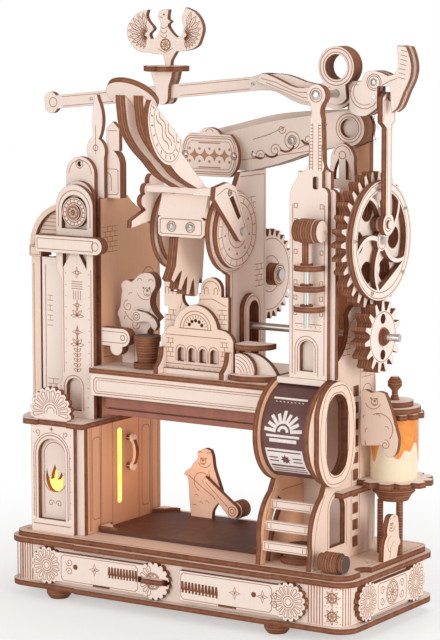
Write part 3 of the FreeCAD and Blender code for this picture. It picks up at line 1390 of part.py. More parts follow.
def elephant():
    """Elephant head with a raised trunk, a plate on each side of the swivel."""
    trunk = [(36.5, -6), (39.9, 1.6), (43.2, 8.3), (44.2, 14.4), (43, 20.5), (41.1, 24.8)]
    mouth = [(36.6, 17.8), (36.1, 13.2), (33.9, 10.6), (30.4, 9.9)]
    brow = [(26.8, 11.4), (22.1, 12.3), (17.4, 11.1), (15.1, 6.9)]
    wire = placed("XZ", PIVOT_X, PIVOT_Z, (8, -9), [(12, -11), (18, -11), (24.5, -7)], (24.5, 4.5),
                  (32, 4.5), (33, -9), trunk, (35.9, 25.4), mouth, brow, [(11, 5.5), (8, 3)])
    hole = circle("XZ", SWIVEL_PIN_X, SWIVEL_Z, SWIVEL_PIN_R)
    return group(*[plate("XZ", LEVER_Y + y, wire, hole) for y in (-1.5 * PLY, PLY / 2)])


def eagle():
    """Spread eagle on the lever's perch, with its head turned to the left."""
    left_wing = [(-6, 6.2), (-11.1, 6.8), (-17.7, 7.7), (-22.3, 11.4), (-25, 16.8), (-23.7, 22.3),
                 (-18.4, 27.8), (-11.2, 30.1)]
    left_slot = [(-12.2, 26.8), (-10.5, 23.6), (-7.2, 19.9), (-10, 17), (-9.1, 14.4)]
    head = [(-3.5, 29), (-1.4, 30.2), (2.5, 30.3)]
    right_slot = [(1.9, 25.4), (3.9, 23.9), (1.9, 21.7), (5.2, 17.4), (7.8, 15.4)]
    right_wing = [(11.1, 17), (12.3, 21.3), (11, 25.6), (13.5, 31.5)]
    right_edge = [(18.7, 29.5), (22.6, 25.8), (24.6, 20.5), (23.3, 15.2), (20.8, 10.8), (15, 8.5), (7.3, 7.8)]
    wire = placed("XZ", EAGLE_X, PIVOT_Z + EAGLE_RISE, (0.4, 0), (-1.2, 6), left_wing, left_slot,
                  (-5.5, 14.8), [(-3.3, 18.9), (-2.6, 23.2)], (-4.6, 26.5), head, right_slot, right_wing,
                  right_edge, (4, 2.9), (3.6, 0))
    return plate("XZ", LEVER_Y - PLY / 2, wire)


def eagle_perch():
    """Scalloped perch plate under the eagle and the two hangers that grip the bar."""
    z = PIVOT_Z + EAGLE_RISE - PLY
    perch = plate("XY", z, scallop("XY", EAGLE_X, LEVER_Y, 9.5, 8))
    wire = placed("XZ", EAGLE_X, z, (-7, 0), [(-6, -4), (-4.5, -8), (-4, -14)], ((0, -18), (4, -14)),
                  [(4.5, -8), (6, -4), (7, 0)])
    hangers = [plate("XZ", LEVER_Y + y, wire) for y in (-1.5 * PLY - GAP, PLY / 2 + GAP)]
    return fused(perch, *hangers)


def lever_pivot():
    """Steel pivot of the lever between the spire and the rear post."""
    return rod("XZ", PIVOT_X, PIVOT_Z, -TOWER_Y - PLY - 0.8, 21.5 - PLY)


# Pitman and its swivel

PITMAN_X = WHEEL_X + WHEEL_T + 1.0 + PLY + 2.2
SWIVEL_X = PITMAN_X - 1.7
SWIVEL_PIN_X = SWIVEL_X - 2.2
SWIVEL_PIN_R = 1.0
SWIVEL_Z = PIVOT_Z - 1.0


def swivel():
    """Small swivel block between the elephant plates, with the cross pin of the pitman."""
    z = SWIVEL_Z
    half = PLY / 2 - 0.25
    end = PITMAN_X + PLY + GAP
    body = block(SWIVEL_X - 4.2, LEVER_Y - half, z - 2.6, PITMAN_X - GAP, LEVER_Y + half, z + 2.6)
    pin = rod("YZ", LEVER_Y, z, PITMAN_X - GAP - 0.5, end, CROSS_PIN_R)
    head = rod("YZ", LEVER_Y, z, end, end + 1.2, 2.4)
    bore = rod("XZ", SWIVEL_PIN_X, z, LEVER_Y - 3, LEVER_Y + 3, SWIVEL_PIN_R + FIT)
    return fused(body, pin, head).cut(bore)


def swivel_pin():
    """Steel pin of the swivel through both elephant plates."""
    return rod("XZ", SWIVEL_PIN_X, SWIVEL_Z, LEVER_Y - 1.5 * PLY, LEVER_Y + 1.5 * PLY, SWIVEL_PIN_R)


CROSS_PIN_R = 1.1


def pitman():
    """Long rod from the swivel down to the crank pin: wide head, slim shank, round eye."""
    low = crank_z() - SWIVEL_Z
    wire = placed("YZ", LEVER_Y, SWIVEL_Z, (-2.6, low + 5), (-2.6, -16), (-7, -13), (-7, -0.6),
                  ((0, 2.4), (7, -0.6)), (7, -13), (3.4, -16), (3.4, low + 5),
                  ((0, low - 5.8), (-2.6, low + 5)))
    rod_plate = plate("YZ", PITMAN_X, wire, circle("YZ", LEVER_Y, SWIVEL_Z, CROSS_PIN_R + FIT))
    screw = rod("YZ", LEVER_Y, crank_z(), PITMAN_X + PLY, PITMAN_X + PLY + 1.2, SCREW_R)
    return fused(rod_plate, screw)


# Lantern corner

def lantern_posts():
    """Dark posts that carry the lantern over the deck."""
    z = Z_FLOOR
    spots = [(LANTERN_X - 6, LANTERN_Y - 4), (LANTERN_X + 6, LANTERN_Y - 4), (LANTERN_X, LANTERN_Y + 6)]
    return group(*[rod("XY", x, y, z, lantern_tray_z() - 9, 1.6) for x, y in spots])


def lantern_tray_z():
    """Underside of the lantern's tray."""
    return Z_FLOOR + LANTERN_H


def lantern_cup():
    """Dark turned cup under the tray."""
    z = lantern_tray_z()
    profile = [(0, z - 9), (8.0, z - 9), (9.5, z - 6), (11.5, z - 4), (11.5, z), (0, z)]
    return turned(LANTERN_X, LANTERN_Y, profile)


def lantern_tray():
    """Scalloped tray under the jar, trimmed where it meets the outer wall."""
    z = lantern_tray_z()
    tray = plate("XY", z, scallop("XY", LANTERN_X, LANTERN_Y, 17.5, 12))
    return tray.cut(block(0, -60, z - 1, RIGHT_OUT + 0.2, 60, z + PLY + 1))


def lantern_ledge():
    """Ledge along the outer wall that the tray rests beside."""
    z = lantern_tray_z()
    return block(RIGHT_OUT, -22, z - PLY, RIGHT_OUT + 5, 8, z)


def lantern_jar():
    """Frosted jar of the lantern."""
    z = lantern_tray_z() + PLY
    outer = rod("XY", LANTERN_X, LANTERN_Y, z, z + JAR_H, JAR_R)
    inner = rod("XY", LANTERN_X, LANTERN_Y, z + JAR_WALL, z + JAR_H, JAR_R - JAR_WALL)
    return outer.cut(inner)


def lantern_glow():
    """Warm core inside the jar."""
    z = lantern_tray_z() + PLY
    return rod("XY", LANTERN_X, LANTERN_Y, z + JAR_WALL, z + JAR_H - 5, JAR_R - 4.5)


JAR_WALL = 1.5
CAP_R = 13.2
CAP_REACH = 16.0


def lantern_cap():
    """Stacked cap plates of the jar with a turned knob."""
    z = lantern_tray_z() + PLY + JAR_H
    low = plate("XY", z, scallop("XY", LANTERN_X, LANTERN_Y, CAP_R, 12))
    mid = rod("XY", LANTERN_X, LANTERN_Y, z + PLY, z + 2 * PLY, 14.0)
    top = rod("XY", LANTERN_X, LANTERN_Y, z + 2 * PLY, z + 3 * PLY, 10.0)
    profile = [(0, z + 9), (2.6, z + 9), (1.6, z + 12), (1.6, z + 14), (3.8, z + 16.5),
               (3.8, z + 19), (2.2, z + 21.5), (0, z + 21.5)]
    knob = turned(LANTERN_X, LANTERN_Y, profile)
    stack = fused(low, mid, top, knob)
    return stack.cut(block(0, -60, z - 1, RIGHT_OUT + 0.2, 60, z + 40))


def lantern_bear():
    """Bear that hugs the lantern's jar."""
    body = placed("XZ", RIGHT_OUT, lantern_tray_z(), (4.4, 22.2), [(3.5, 29), (3.5, 36.1), (4, 44.7)],
                  [(3.2, 50.5), (6.2, 52.4), (9.9, 51.1)], [(14.7, 52.1), (18.3, 51.4)],
                  [(22.1, 42.2), (24.6, 34), (26.5, 27.8)],
                  [(26, 22.9), (24.3, 19), (20.8, 17.6), (17.7, 19.9)], (16.4, 23.5))
    return plate("XZ", LANTERN_Y - CAP_REACH - PLY - GAP, body)


def deck_figure():
    """Small cub that sits on the deck beside the lantern and faces its front."""
    body = placed("YZ", LANTERN_Y - 24.5, Z_FLOOR, (0, 0), [(0.8, 9.2), (4.1, 14)],
                  [(3.8, 17.1), (6.8, 23.1), (10.3, 24.1)], [(15.7, 21.8), (17.2, 10.6)],
                  [(18.7, 7.6), (16.5, 5.8)], (14.5, 0))
    return plate("YZ", BASE_W / 2 - DECK_IN - PLY, body)


def switch_tab():
    """Switch tab that slides in the rosette on the front of the base."""
    half = PLY / 2
    x0, x1 = SLIDE_X - SLIDE_HALF, SLIDE_X + SLIDE_HALF
    return block(x0, -SKIRT_Y - PLY - 2.0, Z_SLIDE - half, x1, -SKIRT_Y + 3.0, Z_SLIDE + half)


NODES = {
    "feet": [feet],
    "bottom_plate": [bottom_plate],
    "skirt": [skirt],
    "overlays": [front_overlays, side_overlays],
    "deck": [deck_lower, deck_upper],
    "switch_tab": [switch_tab],
    "cavity_floor": [cavity_floor],
    "cavity_trim": [floor_clips, door_handle],
    "left_cavity_wall": [left_cavity_wall],
    "lamps": [lamp_strip, flame_lamp, lantern_glow],
    "platen": [platen],
    "platen_guides": [platen_guides],
    "stage": [stage_plates, fascia],
    "facade": [facade_back, facade_front, rose_window],
    "stage_trim": [facade_braces, stage_fan, cam_bearing, side_bracket, stage_latch],
    "stage_bear": [stage_bear],
    "bear_arm": [bear_arm],
    "small_bears": [printer_bear, ink_roller, lantern_bear, deck_figure],
    "ink_bucket": [ink_bucket],
    "left_pedestal": [left_pedestal, flame_panel],
    "left_cornice": [left_cornice, shell_ornament],
    "left_tower_front": [left_tower_front, left_tower_layer, left_tower_crown],
    "tower_trim": [medallion, shelf_bar],
    "left_tower_walls": [left_tower_walls],
    "left_belfry": [left_spire, left_belfry],
    "arch_post": [arch_post],
    "middle_wall": [middle_wall, door_frame],
    "great_beam": [great_beam, beam_arch],
    "name_plate": [name_plate],
    "drum_discs": [drum_discs],
    "drum_cover": [drum_cover, cross_bar],
    "claw_sector": [claw_sector],
    "drum_links": [drum_links],
    "ink_arms": [ink_arms],
    "ink_head": [ink_head, side_plaque],
    "main_shaft": [main_shaft, crank_pin],
    "drive_shaft": [drive_shaft],
    "press_cam": [press_cam],
    "big_gear": [big_gear],
    "pinion": [pinion, side_pinion],
    "flywheel": [flywheel],
    "side_gear": [side_gear],
    "steel_pins": [side_axle, drum_axle, lever_pivot, pull_rod],
    "right_inner_wall": [right_inner_wall],
    "right_outer_wall": [right_outer_wall, oval_ring],
    "right_cross_walls": [partition, pedestal_top, tower_foot, poster_battens, ladder_rungs],
    "poster_sheet": [poster_sheet],
    "disc_stacks": [disc_stack, deck_barrel],
    "right_tower_front": [right_tower_front, right_tower_layer],
    "right_tower_walls": [right_tower_walls, rear_post],
    "tower_brackets": [tower_brackets, roller_grip],
    "lever_bar": [top_lever],
    "elephant": [elephant],
    "eagle": [eagle, eagle_perch],
    "swivel_pin": [swivel_pin],
    "swivel": [swivel],
    "pitman": [pitman],
    "lantern_stand": [lantern_posts, lantern_cup],
    "lantern_plates": [lantern_tray, lantern_ledge, lantern_cap],
    "lantern_jar": [lantern_jar],
}


def main():
    """Write every node as its own STEP file."""
    for name, makers in NODES.items():
        shapes = [make() for make in makers]
        node = shapes[0] if len(shapes) == 1 else group(*shapes)
        node.exportStep("parts/" + name + ".step")


main()
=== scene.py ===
"""Looks of a wooden mechanical printing press: pale laser-cut plywood with charred edges, steel rods,
a dark press bed, a lit jar and a lit lamp panel.

Lengths in the dataclasses are millimetres unless a name ends in _m. Meshes are in metres.
"""
import json
import logging
import math
from dataclasses import dataclass, field
from enum import Enum
from typing import ClassVar

import bmesh
import bpy
import numpy as np
from mathutils import Matrix, Vector


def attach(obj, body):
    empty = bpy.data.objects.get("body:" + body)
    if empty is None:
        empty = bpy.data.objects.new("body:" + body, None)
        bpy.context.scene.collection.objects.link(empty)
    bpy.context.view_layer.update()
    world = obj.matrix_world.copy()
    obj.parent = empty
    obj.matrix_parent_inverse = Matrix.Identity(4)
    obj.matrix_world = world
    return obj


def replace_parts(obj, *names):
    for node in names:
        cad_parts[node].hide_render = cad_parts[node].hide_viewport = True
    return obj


LOG = logging.getLogger("press")
MM = 0.001
PLY = 3.0
Array = np.ndarray
Colour = tuple[float, float, float, float]
Stretch = tuple[float, float, float]
# Noise that is alike along every axis, and the ramp that takes most noises from dark to light.
EVEN: Stretch = (1.0, 1.0, 1.0)
SPREAD = ((0.3, 0.0), (0.7, 1.0))
# Places of a dressed sheet's materials.
UPRIGHT_FACE, EDGE, LEVEL_FACE = 0, 1, 2


class Grain(Enum):
    """Direction that the wood grain runs in on a sheet, as stretches of the noise along X, Y and Z."""

    UPRIGHT = (1.0, 1.0, 0.045)
    ACROSS = (0.045, 1.0, 1.0)


class Tone(Enum):
    """Light, dark and warm colours of a sheet's faces, linear; one tone is painted shade of walls in shadow.
    """

    PALE = ((0.905, 0.775, 0.700), (0.820, 0.655, 0.560), (0.810, 0.640, 0.540))
    HONEY = ((0.885, 0.695, 0.575), (0.780, 0.560, 0.440), (0.770, 0.545, 0.420))
    # Painted shade: this tone darkens and warms the wood of walls that stand in shadow in the towers and the
    # cavity.
    TAN = ((0.860, 0.510, 0.330), (0.700, 0.370, 0.215), (0.720, 0.380, 0.220))


class Kind(Enum):
    """What a CAD node is made of, which picks the way it is dressed."""

    PLY = "plywood"
    DARK = "dark board"
    STEEL = "steel"
    BED = "bed sheet"
    CARD = "printed card"
    LAMP = "lamp"
    JAR = "jar"


# Nodes whose sheet is bent: their faces stand upright and their edges lie level.
WRAPPED = {"skirt"}
# Nodes whose faces are told by area, not by the sheet's axis: twice the least area of a face in mm2.
BROAD: dict[str, float] = {"drum_cover": 100.0, "eagle": 60.0, "right_cross_walls": 70.0}
TONES: dict[str, Tone] = {
    # Painted shade: the walls in shadow inside the towers and the cavity take the darker, warmer tone over
    # their whole nodes.
    **dict.fromkeys(("left_tower_walls", "left_cavity_wall", "right_inner_wall", "right_tower_walls"),
                    Tone.TAN),
    **dict.fromkeys(("small_bears", "facade", "right_outer_wall", "arch_post", "claw_sector", "deck",
                     "cavity_trim"), Tone.HONEY),
}
KINDS: dict[str, Kind] = {
    "cavity_floor": Kind.BED, "platen": Kind.BED, "poster_sheet": Kind.CARD, "lamps": Kind.LAMP,
    "lantern_jar": Kind.JAR,
    **dict.fromkeys(("ink_bucket", "disc_stacks", "lantern_stand"), Kind.DARK),
    **dict.fromkeys(("platen_guides", "main_shaft", "drive_shaft", "steel_pins", "swivel_pin"), Kind.STEEL),
}


class Graph:
    """Small helper around one material's node tree."""

    def __init__(self, name: str) -> None:
        """Start a material with an empty tree.

        Args:
            name: The material's name.
        """
        self.material = bpy.data.materials.new(name)
        self.material.use_nodes = True
        self.tree = self.material.node_tree
        self.tree.nodes.clear()
        self.coords = self.add("ShaderNodeTexCoord").outputs["Object"]

    def add(self, kind: str, **inputs: object) -> bpy.types.Node:
        """Add a node and set or link its inputs.

        Args:
            kind: Blender's node type.
            **inputs: Input name with underscores for spaces, to a value or an output socket.

        Returns:
            The new node.
        """
        node = self.tree.nodes.new(kind)
        for key, value in inputs.items():
            self.feed(node, key.replace("_", " "), value)
        return node

    def feed(self, node: bpy.types.Node, key: str | int, value: object) -> None:
        """Set one input of a node, or link it when the value is a socket.

        Args:
            node: The node.
            key: Name or index of its input.
            value: A value or an output socket.
        """
        if isinstance(value, bpy.types.NodeSocket):
            self.tree.links.new(value, node.inputs[key])
        else:
            node.inputs[key].default_value = value

    def noise(self, scale: float, stretch: Stretch, detail: float = 3.0,
              rough: float = 0.55) -> bpy.types.NodeSocket:
        """Noise over the object coordinates, stretched along the axes.

        Args:
            scale: Features per metre.
            stretch: Factor on each coordinate; a small one draws the noise out.
            detail: Octaves.
            rough: Weight of the finer octaves.

        Returns:
            The noise value's socket.
        """
        place = self.add("ShaderNodeMapping", Vector=self.coords, Scale=stretch)
        node = self.add("ShaderNodeTexNoise", Vector=place.outputs[0], Scale=scale, Detail=detail,
                        Roughness=rough)
        return node.outputs["Fac"]

    def ramp(self, value: bpy.types.NodeSocket, *stops: tuple[float, float]) -> bpy.types.NodeSocket:
        """Grey ramp through (position, level) stops.

        Args:
            value: The driving value.
            *stops: Pairs of position and level.

        Returns:
            The ramp's colour socket, usable as a value.
        """
        node = self.add("ShaderNodeValToRGB", Fac=value)
        elements = node.color_ramp.elements
        while len(elements) < len(stops):
            elements.new(0.5)
        for element, (place, level) in zip(elements, stops):
            element.position = place
            element.color = (level, level, level, 1.0)
        return node.outputs["Color"]

    def math(self, operation: str, a: object, b: object = 0.0) -> bpy.types.NodeSocket:
        """Maths node on two values.

        Args:
            operation: Blender's name of the operation.
            a: First value or socket.
            b: Second value or socket.

        Returns:
            The result's socket.
        """
        node = self.add("ShaderNodeMath")
        node.operation = operation
        self.feed(node, 0, a)
        self.feed(node, 1, b)
        return node.outputs[0]

    def mix(self, factor: object, a: object, b: object) -> bpy.types.NodeSocket:
        """Mix of two colours, through the sockets that a mix node keeps for colours.

        Args:
            factor: Share of the second colour.
            a: First colour or socket.
            b: Second colour or socket.

        Returns:
            The mixed colour's socket.
        """
        node = self.add("ShaderNodeMix")
        node.data_type = "RGBA"
        self.feed(node, 0, factor)
        self.feed(node, 6, a)
        self.feed(node, 7, b)
        return node.outputs[2]

    def attribute(self, name: str) -> bpy.types.NodeSocket:
        """Value of a mesh attribute.

        Args:
            name: The attribute's name.

        Returns:
            The value's socket.
        """
        node = self.add("ShaderNodeAttribute")
        node.attribute_name = name
        return node.outputs["Fac"]

    def bump(self, height: bpy.types.NodeSocket, strength: float, distance_m: float) -> bpy.types.NodeSocket:
        """Bump from a height value.

        Args:
            height: The height's socket.
            strength: Strength from 0 to 1.
            distance_m: Height of a full step in metres.

        Returns:
            The normal's socket.
        """
        node = self.add("ShaderNodeBump", Height=height, Strength=strength, Distance=distance_m)
        return node.outputs[0]

    def finish(self, **inputs: object) -> bpy.types.Material:
        """Close the tree with a Principled shader.

        Args:
            **inputs: Inputs of the shader.

        Returns:
            The material.
        """
        shader = self.add("ShaderNodeBsdfPrincipled", **inputs)
        out = self.add("ShaderNodeOutputMaterial")
        self.tree.links.new(shader.outputs[0], out.inputs[0])
        return self.material


@dataclass(frozen=True)
class PlyFace:
    """Face of a basswood sheet in one tone: faint grain, a shade from sheet to sheet, a scorched rim."""

    grain: Grain
    tone: Tone = Tone.PALE
    scorch: Colour = (0.20, 0.080, 0.040, 1.0)

    def make(self) -> bpy.types.Material:
        """Build the material.

        Returns:
            The material.
        """
        g = Graph("ply_" + self.tone.name.lower() + "_" + self.grain.name.lower())
        light, dark, warm = (rgb + (1.0,) for rgb in self.tone.value)
        streaks = g.ramp(g.noise(900.0, self.grain.value, 4.0, 0.6), (0.32, 0.0), (0.72, 1.0))
        cloud = g.ramp(g.noise(38.0, self.grain.value, 2.0), *SPREAD)
        colour = g.mix(g.math("MULTIPLY", streaks, 0.40), light, dark)
        colour = g.mix(g.math("MULTIPLY", cloud, 0.30), colour, tuple(min(1.04 * c, 0.94) for c in light))
        flecks = g.ramp(g.noise(2600.0, tuple(0.3 + 0.7 * s for s in self.grain.value), 1.0),
                        (0.70, 0.0), (0.78, 1.0))
        colour = g.mix(g.math("MULTIPLY", flecks, 0.24), colour, tuple(0.70 * c for c in dark))
        colour = g.mix(g.math("MULTIPLY", g.attribute("tone"), 0.45), colour, warm)
        burn = g.math("POWER", g.attribute("burn"), 1.4)
        haze = g.math("MULTIPLY", burn, g.ramp(g.noise(420.0, EVEN), (0.25, 0.72), (0.75, 1.0)))
        colour = g.mix(haze, colour, self.scorch)
        normal = g.bump(streaks, 0.18, 0.00012)
        return g.finish(Base_Color=colour, Roughness=0.62, Normal=normal, Specular_IOR_Level=0.32)


@dataclass(frozen=True)
class CharredEdge:
    """Laser-cut side of a sheet: brown char with fine streaks, and a line between glued layers."""

    char: Colour = (0.125, 0.040, 0.020, 1.0)
    toast: Colour = (0.300, 0.112, 0.055, 1.0)
    seam: Colour = (0.52, 0.27, 0.155, 1.0)

    def make(self) -> bpy.types.Material:
        """Build the material.

        Returns:
            The material.
        """
        g = Graph("ply_edge")
        smoke = g.ramp(g.noise(260.0, EVEN, 4.0), *SPREAD)
        streak = g.ramp(g.noise(2400.0, EVEN, 2.0), (0.35, 0.0), (0.65, 1.0))
        blotch = g.math("ADD", g.math("MULTIPLY", smoke, 0.6), g.math("MULTIPLY", streak, 0.3))
        colour = g.mix(blotch, self.char, self.toast)
        layer = g.math("FRACT", g.math("ADD", g.attribute("ply"), 0.5))
        away = g.math("ABSOLUTE", g.math("SUBTRACT", layer, 0.5))
        line = g.math("MULTIPLY", g.ramp(away, (0.03, 1.0), (0.075, 0.0)), g.attribute("inner"))
        colour = g.mix(g.math("MULTIPLY", line, 0.75), colour, self.seam)
        core = g.ramp(g.math("ABSOLUTE", g.math("SUBTRACT", g.math("FRACT", g.attribute("ply")), 0.5)),
                      (0.02, 1.0), (0.14, 0.0))
        colour = g.mix(g.math("MULTIPLY", core, 0.28), colour, self.seam)
        return g.finish(Base_Color=colour, Roughness=0.74, Normal=g.bump(streak, 0.35, 0.00010),
                        Specular_IOR_Level=0.25)


@dataclass(frozen=True)
class Engraved:
    """Thin laser-engraved line."""

    name: str = "engraved_line"
    brown: Colour = (0.30, 0.125, 0.070, 1.0)
    faint: Colour = (0.43, 0.21, 0.125, 1.0)

    def make(self) -> bpy.types.Material:
        """Build the material.

        Returns:
            The material.
        """
        g = Graph(self.name)
        patchy = g.ramp(g.noise(700.0, EVEN, 3.0), *SPREAD)
        colour = g.mix(patchy, self.brown, self.faint)
        return g.finish(Base_Color=colour, Roughness=0.8, Specular_IOR_Level=0.2)


@dataclass(frozen=True)
class DarkBoard:
    """Dark brown stained board with a satin face."""

    name: str = "dark_face"
    base: Colour = (0.040, 0.018, 0.014, 1.0)
    worn: Colour = (0.085, 0.038, 0.028, 1.0)
    rough: float = 0.42

    def make(self) -> bpy.types.Material:
        """Build the material.

        Returns:
            The material.
        """
        g = Graph(self.name)
        cloud = g.ramp(g.noise(160.0, (1.0, 1.0, 0.3), 4.0), (0.3, 0.0), (0.75, 1.0))
        fine = g.noise(1500.0, EVEN, 2.0)
        colour = g.mix(cloud, self.base, self.worn)
        rough = g.add("ShaderNodeMapRange", Value=cloud, To_Min=self.rough, To_Max=self.rough + 0.16)
        return g.finish(Base_Color=colour, Roughness=rough.outputs[0], Normal=g.bump(fine, 0.12, 0.00006))


@dataclass(frozen=True)
class Steel:
    """Plain ground steel rod with fine turning marks along X."""

    tint: Colour = (0.62, 0.60, 0.57, 1.0)

    def make(self) -> bpy.types.Material:
        """Build the material.

        Returns:
            The material.
        """
        g = Graph("steel")
        marks = g.noise(1800.0, (1.0, 0.08, 0.08), 2.0)
        rough = g.add("ShaderNodeMapRange", Value=marks, To_Min=0.22, To_Max=0.42)
        colour = g.mix(g.math("MULTIPLY", marks, 0.35), self.tint, (0.42, 0.40, 0.38, 1.0))
        return g.finish(Base_Color=colour, Metallic=1.0, Roughness=rough.outputs[0],
                        Normal=g.bump(marks, 0.1, 0.00003))


@dataclass(frozen=True)
class Glow:
    """Lit diffuser: an amber light with random patches of deeper amber."""

    name: str
    colour: Colour
    strength: float

    def make(self) -> bpy.types.Material:
        """Build the material.

        Returns:
            The material.
        """
        g = Graph(self.name)
        patchy = g.ramp(g.noise(90.0, EVEN, 2.0), *SPREAD)
        deep = tuple(c * k for c, k in zip(self.colour[:3], (0.95, 0.62, 0.28))) + (1.0,)
        colour = g.mix(patchy, self.colour, deep)
        return g.finish(Base_Color=colour, Roughness=0.5, Emission_Color=colour,
                        Emission_Strength=self.strength)


@dataclass(frozen=True)
class PaleInk:
    """Pale print on the dark card, a little worn."""

    cream: Colour = (0.86, 0.78, 0.74, 1.0)
    worn: Colour = (0.62, 0.50, 0.46, 1.0)

    def make(self) -> bpy.types.Material:
        """Build the material.

        Returns:
            The material.
        """
        g = Graph("pale_print")
        rubbed = g.ramp(g.noise(1100.0, EVEN, 4.0), (0.45, 0.0), (0.72, 1.0))
        colour = g.mix(g.math("MULTIPLY", rubbed, 0.5), self.cream, self.worn)
        return g.finish(Base_Color=colour, Roughness=0.7, Normal=g.bump(rubbed, 0.1, 0.00003))


@dataclass(frozen=True)
class JarGlass:
    """Lit frosted jar: white and glowing below, with an amber coat that runs down from its top."""

    milk: Colour = (0.74, 0.63, 0.46, 1.0)
    amber: Colour = (0.64, 0.175, 0.022, 1.0)
    honey: Colour = (0.80, 0.31, 0.055, 1.0)

    def make(self) -> bpy.types.Material:
        """Build the material.

        Returns:
            The material.
        """
        g = Graph("jar_glass")
        frost = g.ramp(g.noise(300.0, (1.0, 1.0, 0.4), 3.0), (0.35, 0.16), (0.7, 0.34))
        swirl = g.ramp(g.noise(90.0, (1.0, 1.0, 0.5), 3.0), *SPREAD)
        coat = g.ramp(g.attribute("coat"), (0.42, 0.0), (0.58, 1.0))
        colour = g.mix(coat, self.milk, g.mix(swirl, self.amber, self.honey))
        glow = g.math("SUBTRACT", 0.16, g.math("MULTIPLY", coat, 0.06))
        return g.finish(Base_Color=colour, Roughness=frost, IOR=1.42, Emission_Color=colour,
                        Emission_Strength=glow, Normal=g.bump(swirl, 0.1, 0.0002))


@dataclass(frozen=True)
class Plain:
    """Plain pale finish of the floor: lit near the object, and white to the camera farther out."""

    def make(self) -> bpy.types.Material:
        """Build the material.

        Returns:
            The material.
        """
        g = Graph("floor")
        soft = g.noise(6.0, EVEN, 1.0)
        colour = g.mix(g.math("MULTIPLY", soft, 0.05), (0.93, 0.93, 0.93, 1.0), (0.90, 0.90, 0.90, 1.0))
        shader = g.add("ShaderNodeBsdfPrincipled", Base_Color=colour, Roughness=0.9, Specular_IOR_Level=0.1)
        white = g.add("ShaderNodeEmission", Color=(1.0, 1.0, 1.0, 1.0), Strength=1.0)
        path = g.add("ShaderNodeLightPath")
        mirrored = g.math("MAXIMUM", path.outputs["Is Camera Ray"], path.outputs["Is Glossy Ray"])
        seen = g.math("MAXIMUM", mirrored, path.outputs["Is Transmission Ray"])
        away = g.add("ShaderNodeVectorMath", Vector=g.coords)
        away.operation = "LENGTH"
        veil = g.ramp(away.outputs["Value"], (0.10, 0.45), (0.34, 1.0))
        mixed = g.add("ShaderNodeMixShader")
        g.feed(mixed, 0, g.math("MULTIPLY", seen, veil))
        g.feed(mixed, 1, shader.outputs[0])
        g.feed(mixed, 2, white.outputs[0])
        out = g.add("ShaderNodeOutputMaterial")
        g.feed(out, 0, mixed.outputs[0])
        return g.material


class Palette:
    """Every finish of the press, made once."""

    def __init__(self) -> None:
        """Make the materials."""
        self.wood = {tone: {grain: PlyFace(grain, tone).make() for grain in Grain} for tone in Tone}
        self.face = self.wood[Tone.PALE][Grain.UPRIGHT]
        self.edge = CharredEdge().make()
        self.line = Engraved().make()
        self.dark = DarkBoard().make()
        self.bed = DarkBoard("bed_sheet", (0.090, 0.028, 0.016, 1.0), (0.130, 0.044, 0.027, 1.0), 0.46).make()
        self.platen = DarkBoard("platen_board", (0.30, 0.105, 0.068, 1.0), (0.38, 0.145, 0.095, 1.0),
                                0.5).make()
        self.card = DarkBoard("printed_card", (0.105, 0.042, 0.040, 1.0), (0.145, 0.062, 0.055, 1.0),
                              0.5).make()
        self.pale = PaleInk().make()
        self.ink = Engraved("ornament_ink", (0.42, 0.21, 0.11, 1.0), (0.52, 0.29, 0.17, 1.0)).make()
        self.steel = Steel().make()
        self.lamp = Glow("lamp_glow", (1.0, 0.56, 0.12, 1.0), 3.2).make()
        self.glass = JarGlass().make()


def scatter(number: int, name: str) -> float:
    """Share from 0 to 1 that looks random, the same each run, from a number and a name's length."""
    return (math.sin(12.9898 * (number + 1) + 4.1 * len(name)) * 43758.5) % 1.0


def unit(rows: Array) -> Array:
    """Rows scaled to a length of one; a row of no length stays so."""
    return rows / np.maximum(np.linalg.norm(rows, axis=1), 1e-9)[:, None]


def divide(p: Array, closed: bool, step: float) -> tuple[Array, Array, Array]:
    """Cut a line into steps, with its own points kept.

    Args:
        p: Points of the line.
        closed: Whether it returns to its first point.
        step: Longest step.

    Returns:
        Length of line up to each of its own points, length up to each place, and the places.
    """
    run = np.vstack([p, p[:1]]) if closed else p
    length = np.concatenate([[0.0], np.cumsum(np.linalg.norm(np.diff(run, axis=0), axis=1))])
    where = np.union1d(length, np.linspace(0.0, length[-1], int(length[-1] / step) + 2))
    return length, where, np.stack([np.interp(where, length, run[:, k]) for k in (0, 1)], axis=1)


def closed_skin(rings: int, sides: int) -> list[list[int]]:
    """Faces of a turned body: walls between its rings of points, and a fan to a pole at either end.

    Args:
        rings: How many rings; the two poles come after them.
        sides: Points of a ring.

    Returns:
        Point indices of each face.
    """
    i = np.arange(sides)
    k = (i + 1) % sides
    row = np.arange(rings - 1)[:, None] * sides
    walls = np.stack([row + i, row + k, row + sides + k, row + sides + i], axis=-1).reshape(-1, 4)
    last, pole = (rings - 1) * sides, rings * sides
    low = np.stack([k, i, np.full(sides, pole)], axis=1)
    high = np.stack([last + i, last + k, np.full(sides, pole + 1)], axis=1)
    return walls.tolist() + low.tolist() + high.tolist()


def from_mesh(name: str, mesh: bpy.types.Mesh, body: str) -> bpy.types.Object:
    """Put a finished mesh in the scene as a piece that rides on a body.

    Args:
        name: The piece's name.
        mesh: Its mesh, in metres, in place.
        body: The CAD body that it rides on.

    Returns:
        The piece's object.
    """
    piece = bpy.data.objects.new(name, mesh)
    bpy.context.scene.collection.objects.link(piece)
    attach(piece, body)
    LOG.info("piece %s on %s, %d faces", name, body, len(mesh.polygons))
    return piece


